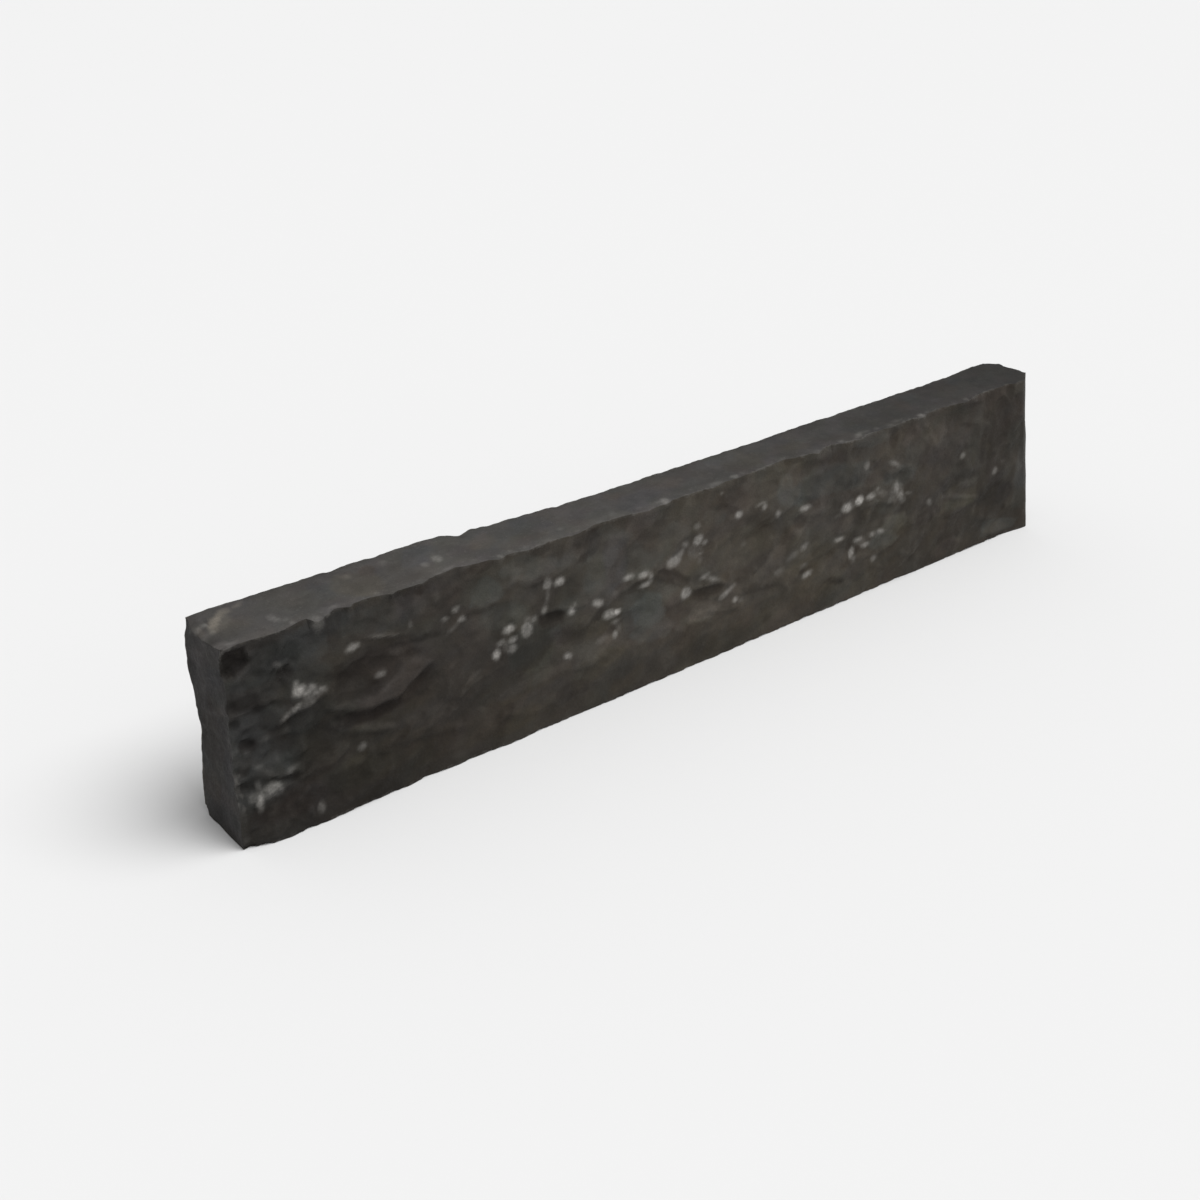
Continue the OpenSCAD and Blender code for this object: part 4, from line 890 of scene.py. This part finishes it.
# pale patches: partly paler stone, partly painted light on the lit slopes above the ledges
PALE_AND_LIT_P = [([(124, 87), (150, 88), (160, 93), (184, 107), (166, 117), (148, 106), (126, 95)], 1.0),
           ([(86, 96), (104, 91), (124, 87), (130, 95), (108, 98), (88, 100)], 1.0), ([(110, 68), (124, 64), (142, 60), (140, 66), (122, 72), (112, 74)], .85),
           ([(296, 150), (320, 148), (322, 162), (302, 166)], .75), ([(324, 150), (337, 150), (348, 172), (334, 175)], .75), ([(270, 156), (292, 148), (297, 151), (274, 160)], .7), ([(262, 161), (284, 160), (286, 170), (264, 171)], .45),
           ([(209, 65), (216, 65), (226, 75), (250, 78), (252, 83), (224, 82)], .9), ([(484, 34), (500, 22), (520, 26), (556, 38), (556, 46), (520, 38)], .3), ([(344, 50), (366, 48), (388, 70), (372, 73), (350, 62)], .6),
           ([(475, 47), (508, 44), (518, 54), (504, 64), (484, 65), (474, 57)], .62), ([(446, 53), (470, 40), (473, 44), (450, 57)], .45), ([(400, 162), (430, 160), (442, 168), (438, 178), (404, 178)], .45), ([(466, 132), (478, 130), (481, 176), (468, 176)], .32), ([(441, 76), (462, 72), (468, 86), (452, 98), (440, 92)], .4), ([(682, 82), (704, 76), (708, 92), (690, 97)], .4), ([(604, 72), (622, 72), (626, 80), (608, 80)], .4),
           ([(842, 74), (902, 60), (903, 64), (844, 80)], .9), ([(876, 78), (890, 76), (902, 80), (900, 86), (884, 88), (878, 84)], .5), ([(843, 58), (870, 56), (902, 58), (900, 76), (843, 76)], .3),
           ([(768, 58), (788, 62), (784, 76), (764, 66)], .4), ([(608, 70), (640, 66), (644, 84), (612, 84)], .3), ([(746, 60), (770, 54), (787, 64), (785, 77), (752, 79)], .75),
           ([(812, 142), (820, 150), (818, 162), (808, 152)], .35), ([(808, 124), (830, 118), (846, 124), (840, 160), (820, 150)], .08),
           ([(164, 170), (176, 158), (180, 166), (172, 178)], .3),
           ([(95, 76), (109, 73), (111, 77), (97, 80)], .5), ([(196, 8), (236, 6), (246, 30), (236, 48), (206, 44)], .3),
           ([(246, 46), (262, 42), (300, 48), (332, 50), (330, 58), (290, 58), (256, 54)], .38), ([(548, 64), (600, 58), (616, 70), (606, 92), (588, 94), (572, 80)], .36),
           ([(826, 132), (842, 130), (858, 146), (850, 164), (832, 158)], .25), ([(920, 8), (944, 6), (968, 8), (948, 20), (924, 25)], .45)]
WARM_P = [([(462, 100), (484, 96), (488, 104), (474, 120), (462, 118)], .8), ([(842, 58), (900, 55), (902, 74), (846, 78)], .8), ([(512, 92), (586, 92), (584, 124), (540, 128), (514, 120)], .15), ([(100, 18), (200, 14), (206, 38), (170, 46), (140, 52), (112, 48)], .5),
          ([(246, 42), (262, 40), (332, 46), (330, 58), (256, 56)], .5), ([(744, 56), (770, 54), (788, 66), (784, 78), (748, 76)], .5)]


def many_sided(items, x, z, soft=1.6):
    total = np.zeros_like(x)
    for corners, amount in items:
        total = np.maximum(total, amount * smooth(-soft, soft, inside(x, z, corners)))
    return total


# colour fields; on the front the blue field also holds a painted reflection of the sky, the dark field painted shade
# and the light field painted light
sided = {"blue": BLUE_AND_REFLECTION_P, "dark": DARK_AND_SHADE_P, "warm": WARM_P, "light": PALE_AND_LIT_P}
for name, items in (("blue", BLUE_AND_REFLECTION), ("dark", DARK_AND_SHADE), ("warm", WARM), ("light", PALE_AND_LIT)):
    field = np.zeros(n)
    gu = fu + 2.2 * fractal2(fu, fv, 13, 111, 3)
    gv = fv + 1.8 * fractal2(fu, fv, 13, 117, 3)
    field[is_front] = np.maximum(patches(items, gu, gv) * (0.5 if name == "light" else 0.85),
                                 many_sided(sided[name], fu + 1.0 * fractal2(fu, fv, 9, 141, 2), fv + 1.0 * fractal2(fu, fv, 9, 143, 2)))
    bsel = is_back
    rb = np.random.RandomState({"blue": 1, "dark": 2, "warm": 3, "light": 4}[name])
    made = [(rb.uniform(0, 992), rb.uniform(0, 180), rb.uniform(8, 46), rb.uniform(4, 20), rb.uniform(-34, 10),
             rb.uniform(.2, .8)) for _ in range({"blue": 30, "dark": 30, "warm": 18, "light": 30}[name])]
    bu, bv = pu[bsel], pv[bsel]
    field[bsel] = patches(made, bu + 3.5 * fractal2(bu, bv, 16, 121, 3), bv + 3 * fractal2(bu, bv, 16, 127, 3))
    put(name, field)

# sawn faces, and nearness to the stone's edges
top_or_bed = ((region == 1) | (region == 3)).astype(float)
corner = np.zeros(n)
k_in_ring = np.tile(np.arange(NR), NU + 1)
is_corner = (k_in_ring == NV) | (k_in_ring == NV + NW) | (k_in_ring == 0) | (k_in_ring == NV + NW + NB)
top_or_bed[:len(k_in_ring)][is_corner] = 0.5
put("sawn", top_or_bed)
front_top = np.interp(pu, us, front[:, -1])
back_top = np.interp(pu, us, back[:, -1])
front_low = np.interp(pu, us, front[:, 0])
back_low = np.interp(pu, us, back[:, 0])
d_top = np.hypot(180 - pv, np.minimum(np.abs(pw - front_top), np.abs(back_top - pw)))
d_low = np.hypot(pv, np.minimum(np.abs(pw - front_low), np.abs(back_low - pw)))
d_end = np.where(pu < U0, np.hypot(np.maximum(pu, 0), np.minimum(np.abs(pw - np.interp(pv, vs, front[0])), np.abs(pw - np.interp(pv, vb, back[0])))),
                 np.hypot(np.maximum(992 - pu, 0), np.minimum(np.abs(pw - np.interp(pv, vs, front[-1])), np.abs(pw - np.interp(pv, vb, back[-1])))))
d_rim = np.minimum(np.hypot(np.minimum(np.abs(pu), np.abs(992 - pu)), np.minimum(pv, 180 - pv)), 99)
near_edge = np.minimum(np.minimum(d_top, d_low), np.minimum(d_end, d_rim))
put("edge", np.clip(near_edge, 0, 40))
put("end_face", np.where(region >= 4, 1.0, 0.0))

# hollows and ridges, from the difference between the face and its smoothed self
def softened(h, passes):
    for _ in range(passes):
        p = np.pad(h, 1, mode="edge")
        h = (p[:-2, 1:-1] + p[2:, 1:-1] + p[1:-1, :-2] + p[1:-1, 2:] + 4 * p[1:-1, 1:-1]) / 8
    return h


ridge = np.zeros(n)
for grid, sign, first in ((front, -1, 0), (back, 1, NV + NW)):
    h = sign * grid
    r = np.clip((h - softened(h, 30)) / 1.6, -1, 1) * 0.7 + np.clip((h - softened(h, 6)) / 0.5, -1, 1) * 0.3
    if first:
        r = r[:, ::-1]
    idx = (np.arange(NU + 1)[:, None] * NR + first + np.arange(h.shape[1])[None, :])
    ridge[idx.ravel()] = r.ravel()
put("ridge", ridge)

mesh.polygons.foreach_set("use_smooth", np.ones(len(mesh.polygons), bool))
mesh.set_sharp_from_angle(angle=math.radians(42))
stone = bpy.data.objects.new("split_stone", mesh)
bpy.context.scene.collection.objects.link(stone)


# ---------------------------------------------------------------- material
def srgb(r, g, b):
    def f(c):
        c = c / 255.0
        return c / 12.92 if c <= 0.04045 else ((c + 0.055) / 1.055) ** 2.4
    return (f(r), f(g), f(b), 1.0)


mat = bpy.data.materials.new("basalt")
mat.use_nodes = True
nt = mat.node_tree
nt.nodes.clear()
N, L = nt.nodes.new, nt.links.new


def node(kind, **inputs):
    m = N(kind)
    for k, v in inputs.items():
        setattr(m, k, v)
    return m


def link(a, b):
    L(a, b)


def value(sock, v):
    if hasattr(v, "links") or isinstance(v, bpy.types.NodeSocket):
        L(v, sock)
    else:
        sock.default_value = v


def math_(op, a, b=None, c=None, clamp=False):
    m = node("ShaderNodeMath", operation=op, use_clamp=clamp)
    value(m.inputs[0], a)
    if b is not None:
        value(m.inputs[1], b)
    if c is not None:
        value(m.inputs[2], c)
    return m.outputs[0]


def mapped(v, a, b, c=0.0, d=1.0, kind="SMOOTHSTEP"):
    m = node("ShaderNodeMapRange", interpolation_type=kind)
    value(m.inputs["Value"], v)
    m.inputs["From Min"].default_value = a
    m.inputs["From Max"].default_value = b
    m.inputs["To Min"].default_value = c
    m.inputs["To Max"].default_value = d
    return m.outputs["Result"]


def mix(f, a, b, kind="MIX"):
    m = node("ShaderNodeMix", data_type="RGBA", blend_type=kind)
    value(m.inputs["Factor"], f)
    value(m.inputs["A"] if False else m.inputs[6], a)
    value(m.inputs[7], b)
    return m.outputs[2]


def attr(name):
    m = node("ShaderNodeAttribute", attribute_name=name, attribute_type="GEOMETRY")
    return m.outputs["Fac"]


coords = node("ShaderNodeTexCoord").outputs["Object"]


def noise(scale, detail=3.0, rough=0.5, stretch=None, shift=(0, 0, 0), distortion=0.0):
    m = node("ShaderNodeMapping")
    m.inputs["Location"].default_value = shift
    m.inputs["Scale"].default_value = stretch or (1, 1, 1)
    L(coords, m.inputs["Vector"])
    t = node("ShaderNodeTexNoise")
    t.inputs["Scale"].default_value = scale
    t.inputs["Detail"].default_value = detail
    t.inputs["Roughness"].default_value = rough
    t.inputs["Distortion"].default_value = distortion
    L(m.outputs["Vector"], t.inputs["Vector"])
    return t.outputs["Fac"]


def voronoi(scale, feature="F1", shift=(0, 0, 0), out="Distance"):
    m = node("ShaderNodeMapping")
    m.inputs["Location"].default_value = shift
    L(coords, m.inputs["Vector"])
    t = node("ShaderNodeTexVoronoi", feature=feature)
    t.inputs["Scale"].default_value = scale
    L(m.outputs["Vector"], t.inputs["Vector"])
    return t.outputs[out]


sawn = attr("sawn")
blue, dark, warm, light, ridge_a, edge_a = (attr(k) for k in ("blue", "dark", "warm", "light", "ridge", "edge"))
spot_a, end_a = attr("spot"), attr("end_face")

n_big = noise(14, 4, 0.55)
n_mid = noise(55, 4, 0.6, shift=(3, 1, 7))
n_small = noise(150, 4, 0.62, shift=(6, 2, 1))
n_fine = noise(420, 3, 0.6, shift=(1, 5, 2))
n_grit = noise(1100, 2, 0.5, shift=(9, 5, 2))

c = mix(mapped(n_big, 0.35, 0.68), (0.0318, 0.0275, 0.0228, 1), (0.0439, 0.0387, 0.0319, 1))
c = mix(math_("MULTIPLY", mapped(n_mid, 0.4, 0.7), 0.20), c, (0.0525, 0.0469, 0.0393, 1))
c = mix(math_("MULTIPLY", mapped(n_small, 0.5, 0.7), 0.22), c, (0.0284, 0.0245, 0.0215, 1))
c = mix(math_("MULTIPLY", warm, 0.55), c, (0.0490, 0.0414, 0.0284, 1))
# blue-grey: partly the stone's own colour, partly a painted reflection of the sky
blue_reflection_n = math_("MULTIPLY", math_("ADD", blue, mapped(n_mid, 0.3, 0.7, -0.25, 0.25, "LINEAR"), clamp=True), 0.85)
c = mix(blue_reflection_n, c, (0.0522, 0.0533, 0.0486, 1))
# pale: partly paler stone, partly painted light on the lit slopes above the ledges
c = mix(math_("MULTIPLY", light, 0.72), c, (0.0679, 0.0608, 0.0530, 1))
# dark brown: partly the stone's own colour, partly painted shade in hollows and under the ledges
dark_and_shade_n = math_("MULTIPLY", math_("ADD", dark, mapped(n_mid, 0.3, 0.7, -0.2, 0.2, "LINEAR"), clamp=True), 0.8)
c = mix(dark_and_shade_n, c, (0.0188, 0.0145, 0.0116, 1))
# the hewn ends are darker and cooler
c_end = mix(mapped(n_mid, 0.35, 0.7), (0.0300, 0.0283, 0.0271, 1), (0.0397, 0.0371, 0.0357, 1))
c_end = mix(math_("MULTIPLY", mapped(n_small, 0.5, 0.7), 0.4), c_end, (0.0226, 0.0217, 0.0207, 1))
c = mix(math_("MULTIPLY", end_a, 0.95), c, c_end)
# ridges rub pale; hollows get painted shade
c = mix(mapped(ridge_a, 0.05, 0.9, 0.0, 0.22), c, (0.0826, 0.0752, 0.0656, 1))
c = mix(mapped(ridge_a, -0.9, -0.05, 0.22, 0.0), c, (0.0168, 0.0139, 0.0113, 1))
tint = mix(mapped(attr("hue"), -1.0, 1.0, 0.0, 1.0, "LINEAR"), (0.93, 1.0, 1.08, 1), (1.045, 1.0, 0.91, 1))
tint = mix(1.0, tint, mix(mapped(attr("rose"), -1.0, 1.0, 0.0, 1.0, "LINEAR"), (0.97, 1.02, 0.975, 1), (1.035, 0.98, 1.02, 1)), "MULTIPLY")
c = mix(1.0, c, tint, "MULTIPLY")
c = mix(1.0, c, attr("tone"), "MULTIPLY")
split = c
# sawn faces
s1 = mix(mapped(noise(30, 5, 0.65, shift=(8, 8, 8)), 0.38, 0.64), (0.0475, 0.0452, 0.0422, 1), (0.0590, 0.0563, 0.0526, 1))
s1 = mix(math_("MULTIPLY", mapped(n_small, 0.50, 0.66), 0.3), s1, (0.0380, 0.0361, 0.0336, 1))
s1 = mix(math_("MULTIPLY", mapped(noise(110, 4, 0.6, shift=(2, 9, 1)), 0.54, 0.68), 0.35), s1, (0.072, 0.0685, 0.064, 1))
s2 = mix(math_("MULTIPLY", mapped(n_fine, 0.56, 0.68), 0.35), s1, (0.095, 0.0915, 0.086, 1))
s3 = mix(math_("MULTIPLY", mapped(n_grit, 0.56, 0.70), 0.4), s2, (0.027, 0.0255, 0.0238, 1))
s3 = mix(1.0, s3, tint, "MULTIPLY")
s3 = mix(1.0, s3, attr("tone"), "MULTIPLY")
stain_n = math_("MULTIPLY", attr("stain"), mapped(n_small, 0.25, 0.6, 0.55, 1.0, "LINEAR"))
s3 = mix(stain_n, s3, (0.126, 0.113, 0.095, 1))
c = mix(mapped(sawn, 0.45, 0.75), split, s3)
# fine grain everywhere
c = mix(1.0, c, mapped(n_grit, 0.25, 0.75, 0.84, 1.18, "LINEAR"), "MULTIPLY")
# crushed pale edges, here and there
here = mapped(noise(26, 3, 0.6, shift=(5, 0, 4)), 0.42, 0.62, 0.1, 1.0)
wide = math_("ADD", mapped(n_small, 0.32, 0.68, -2.0, 2.4, "LINEAR"), mapped(n_fine, 0.3, 0.7, -0.5, 0.5, "LINEAR"))
crush = math_("MULTIPLY", mapped(math_("ADD", edge_a, wide), -0.2, 2.8, 1.0, 0.0), 0.46)
c = mix(math_("MULTIPLY", crush, here), c, (0.105, 0.099, 0.092, 1))
# mineral spots
grainy = math_("MULTIPLY", mapped(noise(260, 4, 0.62, shift=(2, 2, 8)), 0.3, 0.7, 0.62, 1.30, "LINEAR"),
               mapped(noise(560, 3, 0.6, shift=(7, 1, 3)), 0.3, 0.65, 0.80, 1.12, "LINEAR"))
c = mix(math_("MULTIPLY", spot_a, grainy, clamp=True), c, (0.340, 0.326, 0.305, 1))

bsdf = node("ShaderNodeBsdfPrincipled")
out = node("ShaderNodeOutputMaterial")
L(bsdf.outputs[0], out.inputs["Surface"])
L(c, bsdf.inputs["Base Color"])
rough = math_("ADD", mapped(n_fine, 0.3, 0.7, 0.62, 0.8, "LINEAR"), math_("MULTIPLY", sawn, 0.08))
rough = math_("SUBTRACT", rough, math_("MULTIPLY", blue, 0.06))
L(rough, bsdf.inputs["Roughness"])
bsdf.inputs["Specular IOR Level"].default_value = 0.12

# grain and pits as bump, fainter on the sawn faces
b1 = node("ShaderNodeBump")
b1.inputs["Strength"].default_value = 0.6
b1.inputs["Distance"].default_value = 0.0012
height = math_("ADD", math_("MULTIPLY", noise(260, 5, 0.65, shift=(4, 4, 4)), mapped(sawn, 0.3, 0.8, 1.0, 0.12)),
               math_("MULTIPLY", n_grit, 0.18))
L(height, b1.inputs["Height"])
L(b1.outputs["Normal"], bsdf.inputs["Normal"])

mesh.materials.append(mat)
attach(stone, "root")
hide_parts("edging_stone")


# ------------------------------------------------------------------- stage
def stage_plane(name, size, z):
    m = bpy.data.meshes.new(name)
    m.from_pydata([(-size, -size, z), (size, -size, z), (size, size, z), (-size, size, z)], [], [(0, 1, 2, 3)])
    o = bpy.data.objects.new(name, m)
    bpy.context.scene.collection.objects.link(o)
    return o


floor = stage_plane("floor", 30.0, -0.0004)
fm = bpy.data.materials.new("pale_floor")
fm.use_nodes = True
fb = fm.node_tree.nodes["Principled BSDF"]
fb.inputs["Base Color"].default_value = (0.66, 0.66, 0.66, 1)
fb.inputs["Roughness"].default_value = 0.9
fb.inputs["Specular IOR Level"].default_value = 0.1
floor.data.materials.append(fm)

world = bpy.data.worlds.new("studio")
bpy.context.scene.world = world
world.use_nodes = True
bg = world.node_tree.nodes.get("Background") or world.node_tree.nodes.new("ShaderNodeBackground")
bg.inputs["Color"].default_value = (1.0, 1.0, 1.0, 1)
bg.inputs["Strength"].default_value = 0.5

# one broad soft light, high up and a little to the front right
sun = bpy.data.lights.new("softbox", "SUN")
sun.energy = 3.1
sun.angle = math.radians(45)
lamp = bpy.data.objects.new("softbox", sun)
bpy.context.scene.collection.objects.link(lamp)
lamp.rotation_mode = "QUATERNION"
lamp.rotation_quaternion = Vector((-0.36, 0.40, -1.0)).to_track_quat("-Z", "Y")

# ------------------------------------------------------------------ camera
cam_data = bpy.data.cameras.new("camera")
cam = bpy.data.objects.new("camera", cam_data)
bpy.context.scene.collection.objects.link(cam)
az, el, dist = math.radians(-38.92), math.radians(27.23), 1.5258
target = Vector(((397.8 - U0) / 1000, (36 - W0) / 1000, 0.0814))
back_dir = Vector((math.sin(az) * math.cos(el), -math.cos(az) * math.cos(el), math.sin(el)))
cam.location = target + back_dir * dist
cam.rotation_mode = "QUATERNION"
cam.rotation_quaternion = (-back_dir).to_track_quat("-Z", "Y")
cam_data.sensor_width = 36.0
cam_data.lens = 1623.0 * 36.0 / 1200.0
cam_data.clip_start, cam_data.clip_end = 0.01, 100
bpy.context.scene.camera = cam

bpy.context.scene.view_settings.view_transform = "Standard"
bpy.context.scene.view_settings.look = "None"
